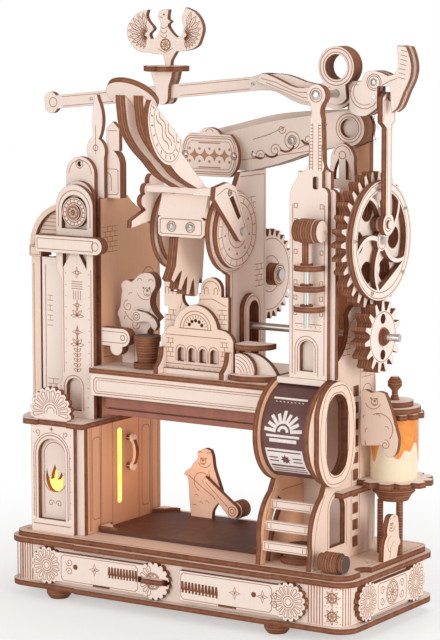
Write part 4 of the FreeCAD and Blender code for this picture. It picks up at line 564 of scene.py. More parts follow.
@dataclass
class SheetDresser:
    """Turns CAD plates into dressed sheets: faces of wood, scorched rims and charred sides.

    A normal counts as square to its sheet from the cosine square on, and a sheet as level from lying on.
    A part thicker than glued sheets is a stack, whose sides show the seams.
    """

    palette: Palette
    rim: float = 0.32
    round_off: float = 32.0
    square: float = 0.97
    lying: float = 0.7
    glued: float = 1.5

    def _merged(self, mesh: bpy.types.Mesh) -> tuple[Array, Array]:
        """Points and triangles of a CAD node with its doubles merged.

        Args:
            mesh: The node's mesh, left as it is.

        Returns:
            Points in millimetres, and triangles.
        """
        bm = bmesh.new()
        bm.from_mesh(mesh)
        bmesh.ops.remove_doubles(bm, verts=bm.verts, dist=2e-6)
        bmesh.ops.dissolve_degenerate(bm, edges=bm.edges, dist=1e-6)
        bmesh.ops.triangulate(bm, faces=bm.faces)
        merged = bpy.data.meshes.new("merged")
        bm.to_mesh(merged)
        bm.free()
        points = np.empty(len(merged.vertices) * 3)
        corners = np.empty(len(merged.loops), int)
        merged.vertices.foreach_get("co", points)
        merged.loops.foreach_get("vertex_index", corners)
        bpy.data.meshes.remove(merged)
        return points.reshape(-1, 3) / MM, corners.reshape(-1, 3)

    def _solids(self, triangles: Array) -> Array:
        """Number the triangles by solid: two belong together across an edge that only they share.

        Args:
            triangles: Point indices of each triangle.

        Returns:
            One number per triangle.
        """
        count = len(triangles)
        ends = np.sort(triangles[:, [0, 1, 1, 2, 2, 0]].reshape(-1, 2), axis=1)
        owner = np.repeat(np.arange(count), 3)
        _, key, times = np.unique(ends, axis=0, return_inverse=True, return_counts=True)
        key = key.ravel()
        order = np.argsort(key, kind="stable")
        shared = times[key[order]] == 2
        pairs = owner[order][shared].reshape(-1, 2)
        label = np.arange(count)
        while len(pairs):
            low = np.minimum(label[pairs[:, 0]], label[pairs[:, 1]])
            after = label.copy()
            np.minimum.at(after, pairs[:, 0], low)
            np.minimum.at(after, pairs[:, 1], low)
            after = after[after]
            if np.array_equal(after, label):
                break
            label = after
        return np.unique(label, return_inverse=True)[1].ravel()

    def _sheet_axis(self, normals: Array, areas: Array) -> Array:
        """Direction square to a sheet: the normal that covers the most area.

        Args:
            normals: Unit normals of a part's faces.
            areas: Twice their areas.

        Returns:
            The unit normal.
        """
        keys = np.round(np.where(normals @ np.array([0.31, 0.53, 0.79]) < 0, -1, 1)[:, None] * normals, 2)
        unique, index = np.unique(keys, axis=0, return_inverse=True)
        best = np.bincount(index.ravel(), areas).argmax()
        return unique[best] / np.linalg.norm(unique[best])

    def _broad(self, normals: Array, areas: Array, spots: Array, least: float) -> Array:
        """Which triangles lie in a plane that they fill with at least so much area.

        Args:
            normals: Unit normals of the triangles.
            areas: Twice their areas.
            spots: One point of each.
            least: Twice the least area of a face.

        Returns:
            A flag per triangle.
        """
        planes = np.column_stack([np.round(normals, 2), np.round((normals * spots).sum(axis=1), 1)])
        _, index = np.unique(planes, axis=0, return_inverse=True)
        return np.bincount(index.ravel(), areas)[index.ravel()] > least

    def _sort(self, node: str, points: Array, member: Array, triangles: Array,
              solid: Array) -> tuple[Array, dict[str, Array]]:
        """Tell the faces of each sheet from its sides, and measure what the finishes need.

        A face lies in the sheet where its normal runs along the sheet's axis. Layer height is the distance
        along that axis over the sheet's thickness.

        Args:
            node: The CAD node.
            points: Its points, none of them shared by two solids.
            member: Number of each point's solid.
            triangles: Point indices of each triangle.
            solid: Number of each triangle's solid.

        Returns:
            Material place of each triangle, and the values of the points by attribute.
        """
        wrap = node in WRAPPED
        corners = points[triangles]
        cross = np.cross(corners[:, 1] - corners[:, 0], corners[:, 2] - corners[:, 0])
        areas = np.linalg.norm(cross, axis=1)
        normals = cross / np.maximum(areas, 1e-12)[:, None]
        values = {name: np.zeros(len(points)) for name in ("ply", "tone", "inner")}
        kind = np.full(len(triangles), EDGE)
        for number in range(int(solid.max()) + 1):
            mine, verts = solid == number, member == number
            axis = np.array([0.0, 0.0, 1.0]) if wrap else self._sheet_axis(normals[mine], areas[mine])
            height = points[verts] @ axis
            values["ply"][verts] = (height - height.min()) / PLY
            values["tone"][verts] = scatter(number, node)
            values["inner"][verts] = float(np.ptp(height) > self.glued * PLY)
            along = np.abs(normals[mine] @ axis) > self.square
            if node in BROAD:
                along = self._broad(normals[mine], areas[mine], corners[mine][:, 0], BROAD[node])
            face = LEVEL_FACE if abs(axis[2]) > self.lying and not wrap else UPRIGHT_FACE
            kind[mine] = np.where(along != wrap, face, EDGE)
        return kind, values

    def _ring(self, raw: bpy.types.Mesh, name: str) -> bpy.types.Mesh:
        """Inset each face region by a narrow ring, scorched at its outer side and clean at its inner side.

        Args:
            raw: Mesh with its material places; it is used up.
            name: Name of the new mesh.

        Returns:
            The mesh with its rings.
        """
        bm = bmesh.new()
        bm.from_mesh(raw)
        bpy.data.meshes.remove(raw)
        bmesh.ops.inset_region(bm, faces=[f for f in bm.faces if f.material_index != EDGE],
                               thickness=self.rim * MM, use_boundary=True, use_even_offset=True)
        burn = bm.verts.layers.float.new("burn")
        for vert in bm.verts:
            vert[burn] = float(any(f.material_index == EDGE for f in vert.link_faces))
        mesh = bpy.data.meshes.new(name)
        bm.to_mesh(mesh)
        bm.free()
        return mesh

    def dress(self, node: str, body: str, dark: bool, tone: Tone) -> bpy.types.Object:
        """Replace a CAD node by a dressed copy of its sheets.

        Args:
            node: The CAD node.
            body: The body that it rides on.
            dark: Whether the faces are of dark board.
            tone: Shade of the wood.

        Returns:
            The dressed piece.
        """
        points, triangles = self._merged(frame["nodes"][node].data)
        solid = self._solids(triangles)
        pairs = np.stack([triangles.ravel(), np.repeat(solid, 3)], axis=1)
        unique, index = np.unique(pairs, axis=0, return_inverse=True)
        points, triangles = points[unique[:, 0]], index.reshape(-1, 3)
        kind, values = self._sort(node, points, unique[:, 1], triangles, solid)
        raw = bpy.data.meshes.new("raw_" + node)
        raw.from_pydata(points * MM, [], triangles)
        for name, value in values.items():
            raw.attributes.new(name, "FLOAT", "POINT").data.foreach_set("value", value)
        raw.polygons.foreach_set("material_index", kind)
        mesh = self._ring(raw, "dressed_" + node)
        face = self.palette.dark if dark else None
        wood = self.palette.wood[tone]
        for material in (face or wood[Grain.UPRIGHT], self.palette.edge, face or wood[Grain.ACROSS]):
            mesh.materials.append(material)
        mesh.shade_smooth()
        mesh.set_sharp_from_angle(angle=math.radians(self.round_off))
        piece = from_mesh("dressed_" + node, mesh, body)
        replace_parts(piece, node)
        return piece


@dataclass(frozen=True)
class Flat:
    """Flat face of the press: u and v run along it, and w stands out of it."""

    origin: tuple[float, float, float]
    right: tuple[float, float, float]
    up: tuple[float, float, float]
    fine: float = 0.0

    def place(self, uvw: Array) -> Array:
        """Points in the frame: origin + u right + v up + w (right x up).

        Args:
            uvw: Points on the panel.

        Returns:
            Points in millimetres.
        """
        right, up = np.array(self.right), np.array(self.up)
        return np.array(self.origin) + uvw @ np.stack([right, up, np.cross(right, up)])


def front(y: float) -> Flat:
    """Panel that faces the front at depth y; u is x and v is z."""
    return Flat((0.0, y, 0.0), (1.0, 0.0, 0.0), (0.0, 0.0, 1.0))


def side(x: float) -> Flat:
    """Panel that faces right at x; u is y and v is z."""
    return Flat((x, 0.0, 0.0), (0.0, 1.0, 0.0), (0.0, 0.0, 1.0))


def left(x: float) -> Flat:
    """Panel that faces left at x; u is minus y and v is z."""
    return Flat((x, 0.0, 0.0), (0.0, -1.0, 0.0), (0.0, 0.0, 1.0))


def back(y: float) -> Flat:
    """Panel that faces the back at y; u is minus x and v is z."""
    return Flat((0.0, y, 0.0), (-1.0, 0.0, 0.0), (0.0, 0.0, 1.0))


def top(z: float) -> Flat:
    """Panel that faces up at z; u is x and v is y."""
    return Flat((0.0, 0.0, z), (1.0, 0.0, 0.0), (0.0, 1.0, 0.0))


# Faces of the CAD model that carry drawings, by the part that they belong to.
STRIP, STRIP_RIGHT, STRIP_LEFT, BASE_BACK = front(-49), side(109), left(-109), back(46)
PEDESTAL, PEDESTAL_DOOR, PEDESTAL_LEFT, LEFT_BACK = front(-42), front(-39), left(-97), back(36)
TOWER, TOWER_EDGE, TOWER_HEAD, TOWER_LEFT = front(-28), front(-25), front(-22), left(-101)
MEDALLION, CORNICE, CORNICE_END = front(-29.2), front(-34), front(-26)
BELFRY, TURRET, CAVITY_WALL = front(-16), front(-19), side(-63)
HALL, HALL_BACK, FASCIA, FASCIA_CAP = front(-25), front(-22), front(-33), front(-34)
DECK, STAGE_TOP = top(36.5), top(130)
DOOR_RIM, MIDDLE_WALL, MIDDLE_LEFT = side(21.5), side(18.5), left(15.5)
DRUM, DRUM_RIM, CLAW, BRIDGE, INK_HEAD = side(25), side(22), side(28), front(-44.5), side(20)
PLATE, BEAM, BEAM_END, BEAM_BACK = front(-3.4), front(2.6), front(-0.4), back(14.6)
OVAL_RIM, OUTER_WALL, INNER_WALL = side(89), side(86), side(55)
INNER_LEFT, RIGHT_TOWER, RIGHT_BACK = left(52), front(-28), back(21.5)
FLYWHEEL, BIG_GEAR, PINION = side(101), side(97), side(102)
SIDE_GEAR, SIDE_HUB, PITMAN = side(15), side(21), side(106.2)
CAVITY_BEAR, CAVITY_TOOL, STAGE_BEAR, BEAR_ARM = front(29), front(26), front(-9), front(-12)
LANTERN_BEAR, END_BEAR = front(-1.3), side(107)


@dataclass(frozen=True)
class Rolled:
    """Sheet bent round an axis along X: u is x, and v is the length of arc up from the front."""

    y: float
    z: float
    radius: float
    fine: float = 1.2

    def place(self, uvw: Array) -> Array:
        """Points in the frame: y - r cos(v / radius) and z + r sin(v / radius), r = radius + w.

        Args:
            uvw: Points on the panel.

        Returns:
            Points in millimetres.
        """
        angle = uvw[:, 1] / self.radius
        reach = self.radius + uvw[:, 2]
        return np.stack([uvw[:, 0], self.y - reach * np.cos(angle), self.z + reach * np.sin(angle)], axis=1)


@dataclass(frozen=True)
class SkirtWall:
    """Wall of the base along its front and round its right corner: u is x, then the length of arc."""

    turn_x: float = 98.0
    front_y: float = -46.0
    radius: float = 8.0
    fine: float = 0.8

    def place(self, uvw: Array) -> Array:
        """Points in the frame, on the straight front, on the quarter arc, then along the end.

        Args:
            uvw: Points on the panel.

        Returns:
            Points in millimetres.
        """
        past = uvw[:, 0] - self.turn_x
        angle = np.clip(past / self.radius, 0.0, math.pi / 2)
        reach = self.radius + uvw[:, 2]
        beyond = np.maximum(past - self.radius * math.pi / 2, 0.0)
        x = self.turn_x + np.minimum(past, 0.0) + reach * np.sin(angle)
        y = self.front_y + self.radius - reach * np.cos(angle) + beyond
        return np.stack([x, y, uvw[:, 1]], axis=1)


Panel = Flat | Rolled | SkirtWall


def arc(u: float, v: float, r: float, a0: float = 0.0, a1: float = 360.0, flat: float = 1.0) -> Array:
    """Points of an arc about (u, v) from a0 to a1 degrees, squeezed upright by flat.

    Args:
        u: Centre along u.
        v: Centre along v.
        r: Radius.
        a0: First angle.
        a1: Last angle.
        flat: Factor on the height.

    Returns:
        Points on the panel.
    """
    count = max(5, int(abs(a1 - a0) / 360 * (14 + 3 * r)))
    angle = np.radians(np.linspace(a0, a1, count))
    return np.stack([u + r * np.cos(angle), v + r * flat * np.sin(angle)], axis=1)


class Sheets:
    """Faces of the CAD model by body, which tell where a flat panel has wood under it.

    A face may lie as far as the slack from the panel.
    """

    slack = 0.12

    def __init__(self) -> None:
        """Collect each body's triangles in millimetres."""
        self.corners: dict[str, Array] = {}
        self.found: dict[tuple[str, Flat], Array] = {}
        for body, nodes in frame["record"]["behaviour"]["bodies"].items():
            self.corners[body] = np.vstack([self._triangles(frame["nodes"][node].data) for node in nodes])

    def _triangles(self, mesh: bpy.types.Mesh) -> Array:
        """Corners of a mesh's triangles.

        Args:
            mesh: A CAD node's mesh, left as it is.

        Returns:
            Three points for each triangle, in millimetres.
        """
        mesh.calc_loop_triangles()
        points, index = np.empty(len(mesh.vertices) * 3), np.empty(len(mesh.loop_triangles) * 3, int)
        mesh.vertices.foreach_get("co", points)
        mesh.loop_triangles.foreach_get("vertices", index)
        return (points.reshape(-1, 3) / MM)[index].reshape(-1, 3, 3)

    def faces(self, body: str, panel: Flat) -> Array:
        """Triangles of a body that lie in a panel and look out of it.

        Args:
            body: The body.
            panel: The panel.

        Returns:
            Their corners on the panel, anticlockwise.
        """
        if (body, panel) not in self.found:
            right, up = np.array(panel.right), np.array(panel.up)
            turn = np.stack([right, up, np.cross(right, up)]).T
            local = (self.corners[body] - np.array(panel.origin)) @ turn
            flat = np.abs(local[..., 2]).max(axis=1) < self.slack
            edge, other = local[:, 1] - local[:, 0], local[:, 2] - local[:, 0]
            outward = edge[:, 0] * other[:, 1] - edge[:, 1] * other[:, 0] > 1e-6
            self.found[body, panel] = local[flat & outward][..., :2]
        return self.found[body, panel]

    def under(self, body: str, panel: Flat, uv: Array, margin: float) -> Array:
        """Which places have a face under them, also a margin to each side.

        Args:
            body: The body.
            panel: The panel.
            uv: Places on the panel.
            margin: Distance to each side.

        Returns:
            A flag for each place.
        """
        a = self.faces(body, panel)
        near = (a.max(axis=1) >= uv.min(axis=0) - margin).all(axis=1)
        a = a[near & (a.min(axis=1) <= uv.max(axis=0) + margin).all(axis=1)]
        step = np.roll(a, -1, axis=1) - a
        inside = np.full(len(uv), len(a) > 0)
        for shift in margin * np.array([[1, 0], [-1, 0], [0, 1], [0, -1]]):
            gap = (uv + shift)[:, None, None, :] - a
            turn = step[..., 0] * gap[..., 1] - step[..., 1] * gap[..., 0]
            inside &= (turn >= -1e-6).all(axis=2).any(axis=1)
        return inside


@dataclass
class Piece:
    """A piece in the making: its name, the body that it rides on, its finish, its slot and its points."""

    name: str
    body: str
    material: bpy.types.Material
    slot: str = "plywood"
    points: list[Array] = field(default_factory=list)
    count: int = 0


@dataclass
class Engraver(Piece):
    """Collects thin raised lines and small fills on panels, and makes one piece of them.

    A line is a rectangle carried along its points and mitred at each of them; it stands a twentieth of a
    millimetre out of the face and as much in it. On a flat panel it is drawn only where there is wood: places
    a step apart are tried, with a margin beside the line, and shorter stretches than the least are left out.
    """

    panel: Panel = front(0.0)
    quads: list[Array] = field(default_factory=list)
    tris: list[Array] = field(default_factory=list)
    asked: float = 0.0
    drawn: float = 0.0
    sheets: ClassVar[Sheets]
    sunk: ClassVar[float] = -0.05
    proud: ClassVar[float] = 0.05
    step: ClassVar[float] = 0.4
    margin: ClassVar[float] = 0.12
    least: ClassVar[float] = 0.8

    def on(self, panel: Panel) -> "Engraver":
        """Go on with another panel.

        Args:
            panel: The panel.

        Returns:
            The engraver itself.
        """
        self.panel = panel
        return self

    def add(self, uvw: Array, quads: Array, tris: Array | None = None) -> None:
        """Take in points on the panel with their faces.

        Args:
            uvw: Points on the panel.
            quads: Four-cornered faces.
            tris: Three-cornered faces.
        """
        self.points.append(self.panel.place(uvw))
        self.quads.append(quads + self.count)
        if tris is not None:
            self.tris.append(tris + self.count)
        self.count += len(uvw)

    def line(self, points: Array | list[tuple[float, float]], width: float, closed: bool = False) -> None:
        """Line through the points, on a flat panel only where the sheet reaches a little past its sides.

        Args:
            points: Points on the panel.
            width: Width of the line.
            closed: Whether the line returns to its first point.
        """
        p = np.asarray(points, float)
        if not isinstance(self.panel, Flat):
            self.stroke(p, width, closed)
            return
        length, where, dense = divide(p, closed, self.step)
        wood = self.sheets.under(self.body, self.panel, dense, width / 2 + self.margin)
        self.asked += length[-1]
        if wood.all():
            self.drawn += length[-1]
            self.stroke(p, width, closed)
            return
        for a, b in np.flatnonzero(np.diff(np.concatenate([[0], wood, [0]]))).reshape(-1, 2):
            if where[b - 1] - where[a] > self.least:
                kept = np.isin(where[a:b], length)
                kept[0] = kept[-1] = True
                self.drawn += where[b - 1] - where[a]
                self.stroke(dense[a:b][kept], width, False)

    def stroke(self, p: Array, width: float, closed: bool) -> None:
        """Solid line through the points: each gets four corners, half a width to either side.

        Args:
            p: Points on the panel.
            width: Width of the line.
            closed: Whether the line returns to its first point.
        """
        if self.panel.fine > 0:
            _, where, dense = divide(p, closed, self.panel.fine)
            p = dense[np.concatenate([[True], np.diff(where) > 1e-6])]
            p = p[:-1] if closed else p
        ahead, behind = np.roll(p, -1, 0) - p, p - np.roll(p, 1, 0)
        if not closed:
            ahead[-1], behind[0] = behind[-1], ahead[0]
        ahead, behind = unit(ahead), unit(behind)
        along = unit(ahead + behind)
        spread = width / 2 / np.maximum((along * ahead).sum(axis=1), 0.6)
        off = np.stack([-along[:, 1], along[:, 0]], axis=1) * spread[:, None]
        low, high = np.full(len(p), self.sunk), np.full(len(p), self.proud)
        ring = np.stack([np.column_stack([p + off, low]), np.column_stack([p + off, high]),
                         np.column_stack([p - off, high]), np.column_stack([p - off, low])], axis=1)
        count = len(p)
        i = np.arange(count if closed else count - 1)[:, None]
        j = np.arange(4)[None, :]
        k, nxt = (i + 1) % count, (j + 1) % 4
        quads = np.stack(np.broadcast_arrays(4 * i + j, 4 * i + nxt, 4 * k + nxt, 4 * k + j), -1)
        quads = quads.reshape(-1, 4)
        if not closed:
            end = 4 * (count - 1)
            quads = np.vstack([quads, [[3, 2, 1, 0], [end, end + 1, end + 2, end + 3]]])
        self.add(ring.reshape(-1, 3), quads)

    def fill(self, points: Array | list[tuple[float, float]]) -> None:
        """Filled figure that its middle sees all of: a fan on top, one below, and walls between.

        On a flat panel it is left out whole where a corner has no wood under it.

        Args:
            points: Its corners, anticlockwise.
        """
        p = np.asarray(points, float)
        if isinstance(self.panel, Flat) and not self.sheets.under(self.body, self.panel, p, 0.05).all():
            return
        n = len(p)
        middle = p.mean(axis=0)
        uvw = np.vstack([np.column_stack([p, np.full(n, self.sunk)]),
                         np.column_stack([p, np.full(n, self.proud)]),
                         [[*middle, self.sunk], [*middle, self.proud]]])
        i = np.arange(n)
        k = (i + 1) % n
        walls = np.stack([i, k, n + k, n + i], axis=1)
        fans = np.vstack([np.stack([n + i, n + k, np.full(n, 2 * n + 1)], axis=1),
                          np.stack([k, i, np.full(n, 2 * n)], axis=1)])
        self.add(uvw, walls, fans)

    def box(self, u0: float, v0: float, u1: float, v1: float, width: float, notch: float = 0.0) -> None:
        """Rectangle of lines, its corners cut in by notch.

        Args:
            u0: Left.
            v0: Bottom.
            u1: Right.
            v1: Top.
            width: Width of the line.
            notch: Size of the corner cuts.
        """
        n = notch
        corners = [(u0, v0), (u1, v0), (u1, v1), (u0, v1)] if n <= 0 else [
            (u0 + n, v0), (u1 - n, v0), (u1, v0 + n), (u1, v1 - n), (u1 - n, v1), (u0 + n, v1), (u0, v1 - n),
            (u0, v0 + n)]
        self.line(corners, width, True)

    def arch(self, u: float, v0: float, v1: float, half: float, width: float) -> None:
        """Line round a window with a round head, open at its sill.

        Args:
            u: Middle.
            v0: Sill.
            v1: Crown.
            half: Half its width.
            width: Width of the line.
        """
        self.line(np.vstack([[(u + half, v0)], arc(u, v1 - half, half, 0, 180), [(u - half, v0)]]), width)

    def ring(self, u: float, v: float, *radii: float, width: float = 0.42) -> None:
        """Round lines about one centre.

        Args:
            u: Centre along u.
            v: Centre along v.
            *radii: Their radii.
            width: Width of the lines.
        """
        for r in radii:
            self.line(arc(u, v, r)[:-1], width, True)

    def dot(self, u: float, v: float, r: float) -> None:
        """Filled round dot about (u, v) with radius r."""
        self.fill(arc(u, v, r)[:-1])

    def star(self, u: float, v: float, r: float, points: int = 4, waist: float = 0.34,
             solid: bool = False) -> None:
        """Star with sharp points, as a line or filled.

        Args:
            u: Centre along u.
            v: Centre along v.
            r: Reach of its points.
            points: How many points.
            waist: Reach of the hollows over that of the points.
            solid: Whether it is filled.
        """
        angle = np.pi / 2 + np.arange(2 * points) * np.pi / points
        reach = np.where(np.arange(2 * points) % 2, r * waist, r)
        shape = np.stack([u + reach * np.cos(angle), v + reach * np.sin(angle)], axis=1)
        if solid:
            self.fill(shape)
        else:
            self.line(shape, 0.36, True)

    def leaf(self, u: float, v: float, length: float, degrees: float, wide: float,
             spine: bool = True) -> None:
        """Pointed leaf from (u, v) at an angle, half its width being wide times sin(pi t) of its length.

        Args:
            u: Foot along u.
            v: Foot along v.
            length: Its length.
            degrees: Its direction.
            wide: Half its width over its length.
            spine: Whether it has a middle line.
        """
        t = np.linspace(0.0, 1.0, 6)
        bow = wide * length * np.sin(np.pi * t ** 0.8) * 0.9
        a = math.radians(degrees)
        ahead, across = np.array([math.cos(a), math.sin(a)]), np.array([-math.sin(a), math.cos(a)])
        foot = np.array([u, v])
        one = foot + (length * t)[:, None] * ahead - bow[:, None] * across
        two = foot + (length * t)[:, None] * ahead + bow[:, None] * across
        self.line(np.vstack([one, two[-2:0:-1]]), 0.34, True)
        if spine:
            self.line(np.stack([foot + 0.12 * length * ahead, foot + 0.8 * length * ahead]), 0.3)

    def shell(self, u: float, v: float, r: float, lobes: int, a0: float = 0.0, a1: float = 360.0) -> None:
        """Ribs of a scalloped shell: an arch in each lobe, and a bead ring about the centre.

        Args:
            u: Centre along u.
            v: Centre along v.
            r: Radius of the shell.
            lobes: How many lobes.
            a0: First angle.
            a1: Last angle.
        """
        step = (a1 - a0) / lobes
        for k in range(lobes):
            middle = math.radians(a0 + (k + 0.5) * step)
            half = math.radians(step) * 0.33
            far, near = 0.9 * r, 0.42 * r
            rib = [(near, middle - half * 0.7), (far, middle - half), (far + 0.08 * r, middle),
                   (far, middle + half), (near, middle + half * 0.7)]
            self.line([(u + d * math.cos(a), v + d * math.sin(a)) for d, a in rib], 0.36)
        self.line(arc(u, v, 0.34 * r, a0, a1), 0.42)
        self.line(arc(u, v, 0.20 * r, a0, a1), 0.36)

    def rosette(self, u: float, v: float, r: float, petals: int) -> None:
        """Round flower: two rims, petals between them and a dot.

        Args:
            u: Centre along u.
            v: Centre along v.
            r: Radius.
            petals: How many petals.
        """
        self.ring(u, v, r, 0.86 * r)
        for k in range(petals):
            a = 2 * math.pi * k / petals
            self.leaf(u + 0.2 * r * math.cos(a), v + 0.2 * r * math.sin(a), 0.62 * r, 360.0 * k / petals,
                      0.24, False)
        self.dot(u, v, 0.14 * r)

    def scroll(self, u: float, v: float, r: float, start: float, turns: float) -> None:
        """Spiral that winds in from r to a fifth of it; a negative number of turns winds clockwise.

        Args:
            u: Centre along u.
            v: Centre along v.
            r: Outer radius.
            start: Angle of its outer end.
            turns: How many turns.
        """
        t = np.linspace(0.0, 1.0, max(8, int(14 * abs(turns))))
        angle = math.radians(start) + 2 * math.pi * turns * t
        reach = r * (1 - 0.8 * t)
        self.line(np.stack([u + reach * np.cos(angle), v + reach * np.sin(angle)], axis=1), 0.38)

    def hatch(self, u0: float, u1: float, v0: float, v1: float, step: float, width: float) -> None:
        """Upright lines at even steps.

        Args:
            u0: First line.
            u1: Last place.
            v0: Foot.
            v1: Head.
            step: Distance between lines.
            width: Width of a line.
        """
        for u in np.arange(u0, u1, step):
            self.line([(u, v0), (u, v1)], width)

    def bricks(self, u0: float, v0: float, u1: float, v1: float, wide: float, tall: float) -> None:
        """Courses of staggered bricks, with some joints left out.

        Args:
            u0: Left.
            v0: Bottom.
            u1: Right.
            v1: Top.
            wide: Length of a brick.
            tall: Height of a course.
        """
        for row, v in enumerate(np.arange(v0, v1 + 0.01, tall)):
            self.line([(u0, v), (u1, v)], 0.3)
            if v + tall > v1 + 0.01:
                break
            for u in np.arange(u0 + (wide / 2 if row % 2 else wide), u1 - 0.5, wide):
                self.line([(u, v), (u, v + tall)], 0.3)

    def studs(self, u0: float, v0: float, u1: float, v1: float, count: int, r: float) -> None:
        """Row of small dots from one place to another.

        Args:
            u0: First place along u.
            v0: First place along v.
            u1: Last place along u.
            v1: Last place along v.
            count: How many dots.
            r: Their radius.
        """
        for t in np.linspace(0.0, 1.0, count):
            self.fill(arc(u0 + (u1 - u0) * t, v0 + (v1 - v0) * t, r, 0, 300)[:6])

    def build(self) -> bpy.types.Object:
        """Make the piece.

        Returns:
            The piece's object.
        """
        LOG.info("%s: %.0f of %.0f mm of flat line on wood", self.name, self.drawn, self.asked)
        mesh = bpy.data.meshes.new(self.name)
        faces = np.vstack(self.quads).tolist()
        if self.tris:
            faces += np.vstack(self.tris).tolist()
        mesh.from_pydata(np.vstack(self.points) * MM, [], faces)
        mesh.materials.append(self.material)
        return from_mesh(self.name, mesh, self.body)


@dataclass
class Turnery(Piece):
    """Collects small turned pieces, such as screw heads, washers and knobs, and makes one piece of them."""

    faces: list[list[int]] = field(default_factory=list)

    def turn(self, panel: Flat, u: float, v: float, profile: list[tuple[float, float]], sides: int) -> None:
        """Carry a profile of (radius, height) once round the panel's normal; both ends lie on the axis.

        Args:
            panel: The face that it stands on.
            u: Axis along u.
            v: Axis along v.
            profile: From the pole at the face, out, up and in to the outer pole.
            sides: Steps of the turn.
        """
        body = np.array(profile[1:-1])
        angle = np.arange(sides) * 2 * math.pi / sides
        rings = np.stack([u + body[:, :1] * np.cos(angle), v + body[:, :1] * np.sin(angle),
                          np.broadcast_to(body[:, 1:], (len(body), sides))], axis=-1).reshape(-1, 3)
        poles = [[u, v, profile[0][1]], [u, v, profile[-1][1]]]
        self.points.append(panel.place(np.vstack([rings, poles])))
        self.faces += [[corner + self.count for corner in face] for face in closed_skin(len(body), sides)]
        self.count += len(rings) + 2

    def screw(self, panel: Flat, u: float, v: float, r: float) -> None:
        """Round screw head with a hexagonal socket.

        Args:
            panel: The face that it stands on.
            u: Axis along u.
            v: Axis along v.
            r: Its radius.
        """
        self.turn(panel, u, v, [(0, -0.2), (r, -0.2), (r, 0.5), (0.72 * r, 1.0), (0.46 * r, 1.1),
                                (0.40 * r, 0.5), (0, 0.45)], 18)

    def washer(self, panel: Flat, u: float, v: float, r: float, tall: float) -> None:
        """Flat round washer with a rounded rim.

        Args:
            panel: The face that it lies on.
            u: Axis along u.
            v: Axis along v.
            r: Its radius.
            tall: Its thickness.
        """
        self.turn(panel, u, v, [(0, -0.1), (r, -0.1), (r, tall * 0.7), (r - 0.3, tall), (0, tall)], 28)

    def build(self) -> bpy.types.Object:
        """Make the piece.

        Returns:
            The piece's object.
        """
        mesh = bpy.data.meshes.new(self.name)
        mesh.from_pydata(np.vstack(self.points) * MM, [], self.faces)
        mesh.materials.append(self.material)
        mesh.shade_smooth()
        mesh.set_sharp_from_angle(angle=math.radians(35.0))
        return from_mesh(self.name, mesh, self.body)


